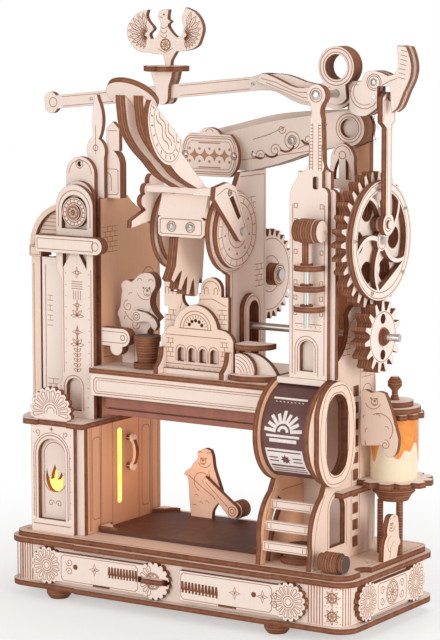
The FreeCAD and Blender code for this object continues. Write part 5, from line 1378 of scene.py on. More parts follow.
@dataclass
class BaseTrim:
    """Engraving of the base: strips, shells, corner flowers and the border of the deck."""

    palette: Palette
    low: float = 11.5
    high: float = 28
    foot: float = 9.6
    head: float = 29.9
    teeth: int = 11

    @property
    def middle(self) -> float:
        """Height of the strips' middle line."""
        return (self.low + self.high) / 2

    def strips(self, e: Engraver) -> None:
        """Engrave the two front strips.

        Args:
            e: The engraver.
        """
        e.on(STRIP)
        for u, a0, a1 in ((-82, 0, 360), (-11, 100, 260), (74, 0, 360)):
            e.shell(u, self.middle, 9, 16 if a1 == 360 else 7, a0, a1)
        e.rosette(-11, self.middle, 4.6, 8)
        for u0, u1 in ((-72, -21), (7, 64)):
            e.box(u0, self.low + 1.1, u1, self.high - 1.1, 0.36, 1.6)
        for u, v in ((-49.6, 21), (41.1, 20.1), (58.3, 20.4)):
            e.star(u, v, 3.4)
            e.star(u, v, 1.3, solid=True)
        for u, v in ((-66.5, 20.6), (65.5, 19.6)):
            e.scroll(u, v + 2.6, 2.4, 180, 1.3)
            e.scroll(u, v - 2.6, 2.4, 180, -1.3)

    def holes(self, e: Engraver) -> None:
        """Paint the shade in the slots of the strips as dark fills, two of them toothed.

        Args:
            e: The engraver, whose charred finish serves as painted shade in the slots.
        """
        e.on(STRIP)
        e.dot(-62.4, 21, 1.5)
        e.dot(52.9, 20.9, 1.5)
        for u0, u1 in ((-50.7, -39.5), (30.7, 42.2)):
            e.fill([(u0, 11.6), (u1, 11.6), (u1, 12.7), (u0, 12.7)])
        for u0, v0, u1, v1 in ((-40.7, 19.3, -19.2, 19.6), (7, 17.8, 30.6, 17.2)):
            step = (u1 - u0) / self.teeth
            for k in range(self.teeth):
                u, v = u0 + k * step, v0 + (v1 - v0) * k / self.teeth
                near, far = u + step * 0.3, u + step * 0.9
                e.fill([(u, v), (u + step * 1.02, v), (u + step * 0.8, v + 4.6), (u + step * 0.2, v + 4.6)])
                e.fill([(near, v - 1.5), (far, v - 1.5), (far, v), (near, v)])

    def skirt(self, e: Engraver) -> None:
        """Engrave the wall beside the strips and round its right corner.

        Args:
            e: The engraver.
        """
        e.on(SkirtWall())
        e.hatch(-104, -92.6, self.foot, self.head, 1.7, 0.6)
        e.hatch(84.6, 91.5, self.foot, self.head, 1.7, 0.6)
        e.hatch(106, 110, self.foot, self.head, 1.7, 0.5)
        for u in (93, 104.5):
            e.line([(u, self.foot), (u, self.head)], 0.5)
        for v in (14.6, 24.4):
            e.star(98.7, v, 4.4, 8, 0.55)
            e.rosette(98.7, v, 2.6, 6)
        for v in (10.4, 19.5, 29):
            e.studs(94.4, v, 103.2, v, 5, 0.5)

    def ends(self, e: Engraver) -> None:
        """Engrave the strips on both ends and the back.

        Args:
            e: The engraver.
        """
        for panel in (STRIP_RIGHT, STRIP_LEFT):
            e.on(panel)
            for u in (-26, 26):
                e.shell(u, self.middle, 9, 16)
            e.box(-15.5, self.low + 1.1, 15.5, self.high - 1.1, 0.36, 1.6)
            e.rosette(0, self.middle, 6.4, 10)
            for s in (-1, 1):
                e.scroll(s * 10.6, self.middle + 2.8, 2.6, 90 + 90 * s, -1.3 * s)
                e.scroll(s * 10.6, self.middle - 2.8, 2.6, 90 + 90 * s, 1.3 * s)
        e.on(BASE_BACK)
        e.box(-84, self.low, 84, self.high, 0.5, 3)
        for u in (-60, -20, 20, 60):
            e.star(u, self.middle, 4.6)
        for u in (-40, 0, 40):
            e.rosette(u, self.middle, 6, 10)
        e.hatch(-97, -86, self.foot, self.head, 1.7, 0.5)
        e.hatch(87, 97, self.foot, self.head, 1.7, 0.5)

    def deck(self, e: Engraver) -> None:
        """Engrave the border of the deck and its corner scrolls.

        Args:
            e: The engraver.
        """
        e.on(DECK)
        e.line([(-104, -18), (-104, 44), (104, 44), (104, -18)], 0.4)
        e.line([(-94, -44.5), (48, -44.5)], 0.4)
        for s in (-1, 1):
            e.scroll(s * 99, -38.5, 4.2, 90 + 90 * s, -1.5 * s)
            e.star(s * 100.5, -10, 3)

    def build(self) -> None:
        """Make the pieces of the base."""
        e = Engraver("base_engraving", "frame", self.palette.line)
        for part in (self.strips, self.skirt, self.ends, self.deck):
            part(e)
        e.build()
        # Dark fills in the charred finish: painted shade in the slots of the strips.
        dark = Engraver("base_slots_painted_shade", "frame", self.palette.edge)
        self.holes(dark)
        dark.build()


@dataclass
class LeftTrim:
    """Engraving and bosses of the left pedestal and tower, and of the cavity's left wall."""

    palette: Palette
    middle: float = -76.5

    def pedestal(self, e: Engraver) -> None:
        """Engrave the pedestal: arch rim, brickwork and the frames of its sides.

        Args:
            e: The engraver.
        """
        e.on(PEDESTAL)
        e.arch(-83, 44, 91.4, 10.9, 0.5)
        e.arch(-83, 44, 92.8, 12.2, 0.36)
        e.line([(-95.6, 41), (-70.4, 41)], 0.5)
        for u in (-95.4, -70.4):
            e.studs(u, 48, u, 92, 8, 0.6)
        for u in (-92.6, -73.4):
            e.scroll(u, 92.4, 2, 270, 1.2 if u < -83 else -1.2)
        e.star(-83, 94.9, 1.7, solid=True)
        e.shell(-83.5, 104.5, 12.5, 12, -18, 198)
        e.on(PEDESTAL_DOOR)
        e.arch(-83, 46, 87, 7.2, 0.36)
        e.scroll(-85.6, 52.6, 2.1, 0, 1.2)
        e.scroll(-80.4, 52.6, 2.1, 180, -1.2)
        e.line(arc(-83, 66.5, 7.6, 150, 390), 0.36)
        e.on(PEDESTAL_LEFT)
        e.box(-32, 42, 34, 92, 0.5, 3)
        e.rosette(2, 67, 13, 12)
        e.on(LEFT_BACK)
        e.box(69, 42, 93, 92, 0.5, 3)

    def cavity(self, e: Engraver) -> None:
        """Engrave the panelled wall on the left of the cavity.

        Args:
            e: The engraver.
        """
        e.on(CAVITY_WALL)
        for u in (-33.6, -32.2, -24, -22.6, -12, 14, 26, 27.4, 33.2, 34.4):
            e.line([(u, 38), (u, 96)], 0.4)
        for u in (-28.2, 20.2):
            e.box(u - 3, 44, u + 4.4, 90, 0.36, 1.4)

    def tower(self, e: Engraver) -> None:
        """Engrave the front of the tower: column ornament, medallion, window rim, niche and crown.

        Args:
            e: The engraver.
        """
        m = self.middle
        e.on(TOWER)
        for u in (m - 7.6, m + 10.9):
            e.line([(u, 125), (u, 183)], 0.4)
        for u in (m - 6.3, m + 9.4):
            e.studs(u, 130, u, 180, 9, 0.6)
        c = m + 1.5
        for v, r in ((181, 2.4), (163, 2), (148, 2.6)):
            e.star(c, v, r + 0.8)
            e.ring(c, v, r * 0.4)
        for k in range(4):
            e.line([(c - 3.6, 176 - 1.3 * k), (c + 3.6, 176 - 1.3 * k)], 0.4)
            e.line([(c - 2.4 + 1.6 * k, 166), (c - 2.4 + 1.6 * k, 171)], 0.4)
        for v in (157, 141):
            for d in (0, 45, 90, 135, 180):
                e.leaf(c, v, 4.4, d, 0.22, False)
        e.line([(c, 152), (c, 125.5)], 0.36)
        for k in range(5):
            for d in (35, 145):
                e.leaf(c, 126 + 2.8 * k, 3, d, 0.26, False)
        e.arch(m - 1, 104, 123.6, 6.6, 0.42)
        for u in (m - 10, m + 8.4):
            e.studs(u, 106, u, 122, 4, 0.7)
        e.arch(m, 206, 226.3, 10.6, 0.42)
        e.ring(m, 214.2, 7.4, 5.4, width=0.5)
        for k in range(16):
            a = math.radians(22.5 * k)
            e.line([(m + 5.7 * math.cos(a), 214.2 + 5.7 * math.sin(a)),
                    (m + 7.1 * math.cos(a), 214.2 + 7.1 * math.sin(a))], 0.5)
        e.on(MEDALLION)
        e.ring(m, 214.2, 3.8, 1.4)
        e.rosette(m, 214.2, 3.3, 8)
        e.on(CORNICE)
        e.box(-97.5, 193.8, -60, 199.6, 0.36)
        e.ring(-58.6, 196.7, 2.3)
        e.on(TOWER_HEAD)
        e.line(arc(m, 235, 7.6, 0, 180), 0.36)
        e.ring(m - 0.5, 240.5, 2.4)
        for k in range(9):
            reach = math.sqrt(max(21.5 ** 2 - (2.2 + 2.2 * k) ** 2, 1))
            v = 194.2 + 2.2 + 2.2 * k
            e.line([(-85 - reach, v), (-88.3, v)], 0.36)
        e.on(TOWER_EDGE)
        e.line([(-98.6, 104), (-98.6, 184)], 0.4)
        e.bricks(-97.4, 106, -90, 120, 3.6, 2.8)
        e.bricks(-97.4, 150, -93.6, 168, 3.6, 2.8)
        e.line([(-106.6, 104), (-106.6, 184)], 0.4)
        e.on(CORNICE_END)
        e.box(-108.2, 189.2, -101.8, 193.4, 0.32)

    def upper(self, e: Engraver) -> None:
        """Engrave the belfry, the spire and the walls of the tower.

        Args:
            e: The engraver.
        """
        e.on(BELFRY)
        e.box(-70.6, 224, -55.4, 238, 0.36, 1)
        e.arch(-63, 226, 236, 3, 0.42)
        e.line([(-62, 259), (-55.6, 259)], 0.36)
        e.on(TURRET)
        e.line([(-68.2, 246), (-68.2, 262)], 0.36)
        e.ring(-68.2, 249.5, 1.6)
        e.on(CAVITY_WALL)
        e.bricks(-20, 192, -6, 206, 4.6, 2.8)
        e.bricks(10, 150, 30, 168, 5, 3)
        e.line([(-20, 134), (34.5, 134)], 0.4)
        e.line([(34, 134), (34, 208)], 0.4)
        e.arch(24, 138, 180, 6, 0.42)
        e.on(TOWER_LEFT)
        e.box(-33, 104, 19, 184, 0.5, 4)
        e.arch(-7, 112, 170, 14, 0.5)
        e.bricks(-31, 106, 17, 111, 6, 2.6)
        e.on(LEFT_BACK)
        e.box(66, 104, 98, 184, 0.5, 4)
        e.rosette(82, 150, 11, 12)

    def build(self) -> None:
        """Make the pieces of the left side."""
        e = Engraver("left_engraving", "frame", self.palette.line)
        for part in (self.pedestal, self.cavity, self.tower, self.upper):
            part(e)
        e.build()
        t = Turnery("left_bosses", "frame", self.palette.face, "plywood")
        for u, v in ((-95.4, 44), (-70.4, 44)):
            t.washer(PEDESTAL, u, v, 1.3, 0.8)
        for v in (69.5, 85.5):
            t.turn(CAVITY_WALL, 3, v, [(0, 2.8), (2.3, 2.8), (2.9, 3.6), (2.3, 4.6), (0, 4.9)], 18)
        t.build()


@dataclass
class HallTrim:
    """Engraving of the stage: its fascia, the small hall, the fan and the middle wall."""

    palette: Palette

    def hall(self, e: Engraver) -> None:
        """Engrave the small hall: rose, gable, bricks and window sills.

        Args:
            e: The engraver.
        """
        e.on(HALL)
        e.line(arc(1, 155, 9.8, 0, 180), 0.42)
        e.line([(-9.6, 155), (11.6, 155)], 0.42)
        for a in range(15, 180, 15):
            c, n = math.cos(math.radians(a)), math.sin(math.radians(a))
            e.line([(1 + 6 * c, 155 + 6 * n), (1 + 7.4 * c, 155 + 7.4 * n)], 0.36)
        e.line([(-18.6, 151), (20.6, 151)], 0.36)
        e.line([(-18.6, 135.4), (20.6, 135.4)], 0.36)
        for u in (-8.5, -1.5, 5.5, 12.5):
            e.arch(u, 137, 145.9, 3.1, 0.36)
        for u in (-15.6, 19):
            e.bricks(u - 2.2, 139, u + 2.6, 149, 2.6, 2.5)
        e.studs(-17, 133.2, 20, 133.2, 12, 0.5)
        e.on(HALL_BACK)
        for u, v in ((-19.3, 176.5), (-14.4, 176), (6, 177.6), (12, 177.6)):
            e.arch(u, v - 3.6, v, 1.1, 0.36)
        e.line([(-11, 165), (-9.4, 169), (-5, 165.4), (-0.6, 166), (2.2, 171), (10, 171.6),
                (18.6, 168)], 0.36)
        e.line(arc(9, 176, 5.2, 0, 180), 0.36)
        e.bricks(13, 158.4, 19, 166, 3, 2.5)
        e.bricks(-20.4, 158.4, -13.6, 164, 3.4, 2.8)

    def stage(self, e: Engraver) -> None:
        """Engrave the fascia, the fan, the latch and the stage's top.

        Args:
            e: The engraver.
        """
        e.on(FASCIA)
        e.box(-60.5, 116, 49.5, 124.6, 0.42, 1.4)
        e.box(-59, 117.2, 48, 123.4, 0.3, 1)
        e.on(FASCIA_CAP)
        e.line([(-62, 128.5), (51, 128.5)], 0.3)
        e.on(HALL_BACK)
        e.line(np.vstack([[(-62.5, 149), (-49.5, 149)], arc(-48.6, 146, 3, 80, -80),
                          [(-49.5, 143), (-62.5, 143)]]), 0.36)
        e.ring(-48.8, 146, 1.4)
        e.on(HALL)
        for k in range(5):
            r = 4 + 1.9 * k
            e.line(arc(26, 133, r, 5, 85), 0.34)
        e.on(STAGE_TOP)
        e.box(-61, -32.5, 50, 34, 0.4)
        for v in (-10, 8, 22):
            e.line([(-60, v), (14, v)], 0.3)

    def wall(self, e: Engraver) -> None:
        """Engrave the middle wall: door rim, brick patches and a border.

        Args:
            e: The engraver.
        """
        e.on(DOOR_RIM)
        e.arch(0.5, 132, 171.8, 7.4, 0.42)
        e.on(MIDDLE_WALL)
        e.line([(-15.4, 186), (-15.4, 133)], 0.36)
        e.line([(16.6, 133), (16.6, 236.6), (-8, 236.6)], 0.36)
        e.bricks(7, 176, 15.6, 188, 4.4, 3)
        e.bricks(-6, 216, 8, 225, 4.6, 3)
        e.bricks(9.6, 140, 15.6, 149, 3, 3)
        e.on(MIDDLE_LEFT)
        e.arch(-1.5, 134, 172, 8, 0.42)
        e.bricks(-16, 190, -2, 202, 4.6, 3)

    def build(self) -> None:
        """Make the pieces of the stage."""
        e = Engraver("stage_engraving", "frame", self.palette.line)
        for part in (self.hall, self.stage, self.wall):
            part(e)
        e.build()


@dataclass
class DrumTrim:
    """Engraving and screws of the ink drum, and of the oval plaque on the right flank of its arms.

    The plaque's middle stands off the drum's axis (y, z) by head. Its long axis leans to the front by lean,
    in degrees.
    """

    palette: Palette
    y: float = -21
    z: float = 209
    head: tuple[float, float] = (-61, 57)
    lean: float = 30

    def build(self) -> None:
        """Make the pieces that rock with the drum."""
        e = Engraver("drum_engraving", "ink_head", self.palette.line)
        e.on(DRUM)
        e.ring(self.y, self.z, 18.8, 15.2, 9)
        for k in range(18):
            a = math.radians(20 * k + 8)
            c, n = math.cos(a), math.sin(a)
            e.line([(self.y + 15.6 * c, self.z + 15.6 * n), (self.y + 18.4 * c, self.z + 18.4 * n)], 0.36)
            if k % 2:
                e.dot(self.y + 12.1 * c, self.z + 12.1 * n, 0.7)
        e.on(DRUM_RIM)
        e.ring(self.y, self.z, 21.6, width=0.36)
        e.on(CLAW)
        e.line([(-45.6, 229.8), (-36.8, 233), (-27.8, 230.2), (-18.2, 211)], 0.34)
        e.ring(-33.4, 230.2, 1.7)
        e.on(BRIDGE)
        e.box(-8.6, 208, 17.6, 216, 0.36, 1)
        for u in (-1.4, 10.4):
            e.ring(u, 212, 2.7)
        e.on(INK_HEAD)
        lean = math.radians(self.lean)
        along = np.array([-math.sin(lean), math.cos(lean)])
        across = np.array([math.cos(lean), math.sin(lean)])
        middle = np.array([self.y + self.head[0], self.z + self.head[1]])
        turn = np.linspace(0, 2 * np.pi, 37)[:-1]
        for long, short in ((18.4, 12.4), (14.2, 8.4)):
            oval = long * np.sin(turn)[:, None] * along + short * np.cos(turn)[:, None] * across
            e.line(middle + oval, 0.4, True)
        for a in turn[1::2]:
            far = middle + 17.2 * math.sin(a) * along + 11.3 * math.cos(a) * across
            near = middle + 15.2 * math.sin(a) * along + 9.4 * math.cos(a) * across
            e.line([near, far], 0.75)
        for shift in (-3, 0, 3):
            t = np.linspace(-1, 1, 15)[:, None]
            e.line(middle + 10.5 * t * along + (shift + 1.2 * np.sin(6 * t)) * across, 0.6)
        e.build()
        t = Turnery("drum_screws", "ink_head", self.palette.steel, "steel")
        for u in (-1.4, 10.4):
            t.screw(BRIDGE, u, 212, 1.9)
        t.screw(CLAW, -33.4, 230.2, 1.4)
        t.build()


@dataclass
class BeamTrim:
    """Engraving and screws of the great beam and its plate, whose middle is at (u, v)."""

    palette: Palette
    u: float = -4
    v: float = 247

    def build(self) -> None:
        """Make the pieces of the beam."""
        e = Engraver("beam_engraving", "frame", self.palette.line)
        ink = Engraver("plate_ornament", "frame", self.palette.ink)
        e.on(PLATE)
        for d, width in ((1.3, 0.36), (2.4, 0.42), (4, 0.3)):
            tall = 11.5 - d
            curve = np.linspace(-np.pi / 2, np.pi / 2, 11)
            one = np.stack([self.u + 13 - d * 0.4 + (5.5 - d * 0.6) * np.cos(curve),
                            self.v + tall * np.sin(curve)], axis=1)
            two = 2 * np.array([self.u, self.v]) - one
            e.line(np.vstack([one, two]), width, True)
        for u in (-19.6, 11.6):
            e.ring(u, self.v, 1.9)
        e.line(arc(-4, 258.6, 2.6, 20, 160), 0.36)
        ink.on(PLATE)
        for k in range(4):
            u = -13.6 + 6.4 * k
            ink.star(u, self.v, 3.5, 4, 0.46, True)
        for k in range(5):
            u = -16.8 + 6.4 * k
            for v in (243.6, 250.4):
                ink.dot(u, v, 0.8)
        for v in (240.4, 253.6):
            ink.line([(-11, v), (3, v)], 0.7)
        e.on(BEAM)
        x = np.linspace(0, 66, 12)
        e.line(np.stack([x, 243.2 + 9.6 * (x / 66) ** 1.1], 1), 0.36)
        e.line(np.stack([x + 4, 262.4 + 10 * np.sin(np.clip(x, 0, 70) / 70 * 1.7)], 1)[:11], 0.36)
        e.ring(44.5, 256.4, 4.6, 2.6)
        for u, v, r, a, n in ((34, 250.8, 3.6, 0, 1.5), (25, 247.6, 3.2, 180, -1.4),
                              (54, 257, 3.4, 180, 1.4), (38, 262, 2.6, 0, -1.3)):
            e.scroll(u, v, r, a, n)
        e.line([(20, 256), (30, 259), (40, 263.4)], 0.4)
        e.line([(48, 252), (60, 257.6), (66, 266)], 0.4)
        e.ring(79, 264, 7.6, 6)
        e.on(BEAM_END)
        e.line(arc(77, 250, 4.9, 0, 180), 0.36)
        e.on(BEAM_BACK)
        e.line(np.stack([-np.linspace(-20, 70, 14), 243 + 9 * np.linspace(0, 1, 14)], 1), 0.4)
        e.build()
        ink.build()
        carved = Engraver("beam_carving", "frame", self.palette.edge).on(BEAM)
        for u, v, r, a0, a1 in ((24.4, 251, 5, 195, 285), (31.6, 252.6, 5.6, 225, 315),
                                (40.4, 256, 5.8, 235, 335), (54, 259.6, 4.6, 215, 300)):
            carved.line(arc(u, v, r, a0, a1), 1.1)
        carved.build()
        t = Turnery("beam_screws", "frame", self.palette.steel, "steel")
        for u in (-19.6, 11.6):
            t.screw(PLATE, u, self.v, 1.3)
        t.screw(BEAM, 44.5, 256.4, 2)
        t.screw(BEAM, 20.6, 247.8, 1.5)
        t.build()


@dataclass
class RightTrim:
    """Engraving of the right tower, its pedestal, the ladder and the poster drum.

    The poster's print lies on the bent card, its dark rules a little farther out.
    """

    palette: Palette
    card: Rolled = Rolled(-20.5, 106, 25.5)
    rules: Rolled = Rolled(-20.5, 106, 25.56)
    middle: float = 68.6

    def tower(self, e: Engraver) -> None:
        """Engrave the front of the tower and the knurled column of its spire.

        Args:
            e: The engraver.
        """
        e.on(RIGHT_TOWER)
        for u in (63.4, 82.6):
            e.line([(u, 137), (u, 226)], 0.4)
        for v in np.arange(168, 226, 8):
            for u in (65.2, 80.8):
                e.box(u - 0.9, v, u + 0.9, v + 2.2, 0.36)
        e.arch(72, 138, 155.2, 5.4, 0.42)
        e.arch(72, 136.4, 157, 6.9, 0.36)
        for v in (160, 163.4):
            e.line([(65, v), (81, v)], 0.36)
        e.studs(66, 161.7, 80, 161.7, 6, 0.55)
        for u in (73.4, 80.6):
            e.line([(u, 244), (u, 268)], 0.36)
        for v in np.arange(245, 268, 1.7):
            e.line([(73.6, v), (75.2, v)], 0.4)
            e.line([(78.8, v), (80.4, v)], 0.4)
        e.line([(75.3, 244), (75.3, 268)], 0.3)
        e.line([(78.7, 244), (78.7, 268)], 0.3)
        e.ring(77, 282.5, 3.6)
        e.on(BEAM_END)
        e.ring(77, 250, 2)

    def walls(self, e: Engraver) -> None:
        """Engrave the outer wall, the oval rim, the ladder frames and the rungs.

        Args:
            e: The engraver.
        """
        e.on(OVAL_RIM)
        oval = np.linspace(0, 2 * np.pi, 49)[:-1]
        bulge = np.sign(np.sin(oval)) * np.abs(np.sin(oval)) ** 1.15
        for half, tall in ((17.6, 26), (12.6, 22.4)):
            e.line(np.stack([-24.5 + half * np.sign(np.cos(oval)) * np.abs(np.cos(oval)) ** 0.62,
                             106 + tall * bulge], 1), 0.42, True)
        e.on(OUTER_WALL)
        e.line([(-20, 144), (-20, 168)], 0.4)
        e.line([(19.6, 40), (19.6, 150)], 0.42)
        e.line([(-4.4, 44), (-4.4, 128)], 0.36)
        e.line([(4.4, 44), (4.4, 150)], 0.36)
        e.arch(-19, 44, 74.6, 10, 0.42)
        e.arch(12, 96, 128, 5, 0.42)
        e.bricks(6, 132, 18, 146, 4.4, 3)
        e.bricks(-18, 146, -6, 156, 4.4, 3)
        e.line(arc(0, 155.7, 9, -10, 190), 0.42)
        e.on(INNER_WALL)
        e.line([(-24, 73), (32, 73)], 0.36)
        e.on(INNER_LEFT)
        e.box(-33, 42, -2, 118, 0.42, 3)
        for wall in (OUTER_WALL, INNER_WALL):
            e.on(wall)
            e.line([(-43.4, 39), (-42.4, 47), (-41.8, 54), (-39.6, 62), (-36, 69),
                    (-31.6, 75)], 0.4)
        for y, z in ((-35.5, 67.5), (-41, 57), (-43.5, 46.5)):
            e.on(front(y))
            e.box(56.2, z - 1.7, 81.8, z + 1.7, 0.34)
            for u in (58.6, 79.4):
                e.line([(u, z - 1.2), (u, z + 1.2)], 0.34)
        e.on(RIGHT_BACK)
        e.box(-82, 42, -58, 128, 0.42, 3)
        e.box(-82, 140, -66, 228, 0.42, 3)

    def poster(self) -> None:
        """Print on the card: a pale fan over a step, and a pale band with dark rules and a flower."""
        p = Engraver("poster_print", "frame", self.palette.pale, "printed_sheet")
        p.on(self.card)
        p.line([(58.4, 21.2), (78.8, 21.2)], 1.3)
        p.studs(60.6, 18.6, 76.6, 18.6, 8, 0.8)
        for k in range(9):
            a = math.radians(6 + 21 * k)
            near, far = 4.4, 11.4 - 1.2 * (k % 2)
            p.line([(self.middle + near * math.cos(a), 2.6 + near * math.sin(a)),
                    (self.middle + far * math.cos(a), 2.6 + far * math.sin(a))], 1.9)
        p.line(arc(self.middle, 2.6, 2.6, 0, 180), 1.6)
        p.line([(58.6, 0.4), (78.6, 0.4)], 1.3)
        p.line([(60.4, -2), (76.8, -2)], 1.9)
        p.line([(self.middle, -6.6), (self.middle, -23.4)], 22.4)
        p.build()
        d = Engraver("poster_rules", "frame", self.palette.card, "printed_sheet")
        d.on(self.rules)
        for v, width in ((-8.2, 0.7), (-17.6, 1.2), (-19.8, 0.7), (-21.8, 0.9)):
            d.line([(58.6, v), (78.6, v)], width)
        d.star(self.middle, -13, 3, 8, 0.6, True)
        for u0, u1 in ((58.8, 64.2), (73, 78.4)):
            for v in (-11.9, -14.1):
                d.line([(u0, v), (u1, v)], 0.7)
        d.build()

    def build(self) -> None:
        """Make the pieces of the right side."""
        e = Engraver("right_engraving", "frame", self.palette.line)
        self.tower(e)
        self.walls(e)
        e.build()
        # Dark squares in the charred finish: painted shade in the slots of the outer wall.
        dark = Engraver("wall_slots_painted_shade", "frame", self.palette.edge).on(OUTER_WALL)
        for v in np.arange(44.5, 126, 9):
            dark.line([(0, v - 2.9), (0, v + 2.9)], 5.8)
        dark.build()
        self.poster()
        t = Turnery("right_screws", "frame", self.palette.steel, "steel")
        t.screw(RIGHT_TOWER, 77, 282.5, 2.6)
        t.build()
        w = Turnery("rod_washers", "frame", self.palette.edge, "plywood")
        for z in (192, 181.3, 170.6):
            w.washer(top(z + 3), 75.5, -34, 3.4, 1)
        w.build()


@dataclass
class LeverTrim:
    """Engraving and screws of the top lever, the eagle and the elephant.

    The bar runs through its pivot (x, z) and rises to the right by slope, in degrees. The bar and the
    elephant's head have their own depths.
    """

    palette: Palette
    pivot: tuple[float, float] = (77, 282.5)
    slope: float = 5.85
    bar_y: float = -4.5
    head_y: float = -7.5
    eye: tuple[float, float] = (99.6, 288.9)

    def tilted(self, y: float) -> Flat:
        """Panel along the sloping bar, with its origin in the pivot.

        Args:
            y: Its depth.

        Returns:
            The panel.
        """
        a = math.radians(self.slope)
        return Flat((self.pivot[0], y, self.pivot[1]), (math.cos(a), 0, math.sin(a)),
                    (-math.sin(a), 0, math.cos(a)))

    def eagle(self, e: Engraver) -> None:
        """Engrave the eagle's feathers, breast and eye on both faces.

        Args:
            e: The engraver.
        """
        for s, panel in ((1, Flat((-32, -4.5, 294.6), (1, 0, 0), (0, 0, 1))),
                         (-1, Flat((-32, -1.5, 294.6), (-1, 0, 0), (0, 0, 1)))):
            e.on(panel)
            for u, places, reach in (
                    (-11.5, (97, 125, 160, 185, 212, 236, 262), (13, 13.6, 14, 13.4, 10.6, 8.8, 8)),
                    (12.6, (-84, -52, -20, 8, 32, 60, 82), (7.6, 8.2, 9.4, 11.2, 13.2, 14.2, 14.2))):
                for a in np.arange(places[0] + 6, places[-1] - 2, 16.5):
                    length = float(np.interp(a, places, reach))
                    for near, far in ((0.40, 0.94), (0.12, 0.42)):
                        way = math.radians(a)
                        foot = (s * (u + near * length * math.cos(way)), 16.4 + near * length * math.sin(way))
                        e.leaf(*foot, (far - near) * length, a if s > 0 else 180 - a, 0.20)
            e.rosette(s * 0.4, 11.4, 3.2, 7)
            e.line([(s * -4.5, 9), (s * 0.2, 7), (s * 5, 9.4)], 0.34)
            for k in range(3):
                e.line(arc(s * -0.6, 17.4 + 2.4 * k, 2.2, 200, 340), 0.34)
            e.dot(s * -0.6, 27.6, 0.6)
            e.line([(s * -3.4, 26.4), (s * -1.4, 26)], 0.34)

    def elephant(self, e: Engraver) -> None:
        """Engrave the elephant's ear, eye, trunk rings and tusk.

        Args:
            e: The engraver.
        """
        e.on(Flat((self.pivot[0], self.head_y, self.pivot[1]), (1, 0, 0), (0, 0, 1)))
        e.line(arc(17, 1, 8.4, 100, 330), 0.42)
        e.line(arc(17, 1, 6.6, 120, 300), 0.34)
        e.ring(22.6, 6.4, 4.2, 3.2)
        e.line([(27, 2), (31, -1), (33.8, -2.4)], 0.42)
        e.line([(26.6, 4.6), (31, 6.8), (36, 8.8)], 0.36)
        for k in range(7):
            v = 9 + 2.3 * k
            u = 38.4 + 0.25 * k
            e.line([(u - 1.6, v + 0.3), (u + 2.2, v - 0.6)], 0.34)
        e.line(arc(12, 2, 3, 60, 200), 0.34)

    def build(self) -> None:
        """Make the pieces that rock with the lever."""
        e = Engraver("lever_engraving", "lever", self.palette.line)
        self.eagle(e)
        self.elephant(e)
        e.on(front(self.head_y))
        e.ring(77, 296.3, 9.6, 7.7)
        e.on(self.tilted(self.bar_y))
        for v in (6.4, 11.6):
            e.line([(-178, v), (-119, v)], 0.32)
            e.line([(-99, v), (-54, v)], 0.32)
        e.ring(-184.4, 9, 2.6)
        e.on(self.tilted(self.head_y))
        e.line([(-45, 11.6), (-36, 8.6), (-24, 2.6), (-12, 1.2), (-3, 3.6)], 0.36)
        e.line([(-42, 9), (-34, 5.4), (-20, -0.6), (-9, -2)], 0.36)
        e.build()
        t = Turnery("lever_screws", "lever", self.palette.steel, "steel")
        t.screw(front(self.head_y), *self.eye, 2)
        for u in (-158, -52):
            t.screw(self.tilted(self.bar_y), u, 9, 0.9)
        t.build()
        d = Turnery("eye_disc", "lever", self.palette.face, "plywood")
        d.washer(front(self.head_y), *self.eye, 3, 0.25)
        d.build()


@dataclass
class GearTrim:
    """Engraving and hub screws of the flywheel, the gears and the pitman.

    The side gear's axis lies its reach from the drive shaft, at its rise in degrees.
    """

    palette: Palette
    main_z: float = 206.3
    drive_z: float = 155.675
    reach: float = 1.66 * 23
    rise: float = 40.5

    def build(self) -> None:
        """Make the pieces of each turning body."""
        wheel = Engraver("flywheel_engraving", "wheel", self.palette.line)
        wheel.on(FLYWHEEL)
        wheel.ring(0, self.main_z, 30.4, 27.2, 4.4)
        wheel.on(BIG_GEAR)
        wheel.ring(0, self.main_z, 29.6, 27.9)
        wheel.build()
        bolts = Turnery("flywheel_bolts", "wheel", self.palette.steel, "steel")
        for k in range(5):
            a = math.radians(96 + 72 * k + 8)
            bolts.screw(FLYWHEEL, 28.8 * math.cos(a), self.main_z + 28.8 * math.sin(a), 1.1)
        bolts.build()
        drive = Engraver("pinion_engraving", "drive", self.palette.line)
        drive.on(PINION)
        drive.ring(0, self.drive_z, 13.2, 5)
        drive.build()
        hub = Turnery("pinion_hub", "drive", self.palette.edge, "plywood")
        hub.turn(PINION, 0, self.drive_z,
                 [(0, 0), (4.6, 0), (4.6, 1.4), (3.4, 1.4), (3.4, 2.6), (0, 2.6)], 24)
        hub.build()
        y = self.reach * math.cos(math.radians(self.rise))
        z = self.drive_z + self.reach * math.sin(math.radians(self.rise))
        gear = Engraver("side_gear_engraving", "side_gear", self.palette.line)
        gear.on(SIDE_GEAR)
        gear.ring(y, z, 19.6, 10)
        gear.on(SIDE_HUB)
        gear.ring(y, z, 5.2, 3.8)
        gear.build()
        rod = Engraver("pitman_engraving", "pitman", self.palette.line)
        rod.on(PITMAN)
        rod.line([(-8.6, 268.8), (-8.6, 279.6), (-3, 281.9), (2.6, 279.6), (2.6, 268.8), (-0.6, 266.8),
                  (-0.6, 220)], 0.36)
        rod.line([(-4.4, 265), (-4.4, 220)], 0.36)
        rod.ring(-3, 215.2, 3.6)
        rod.build()


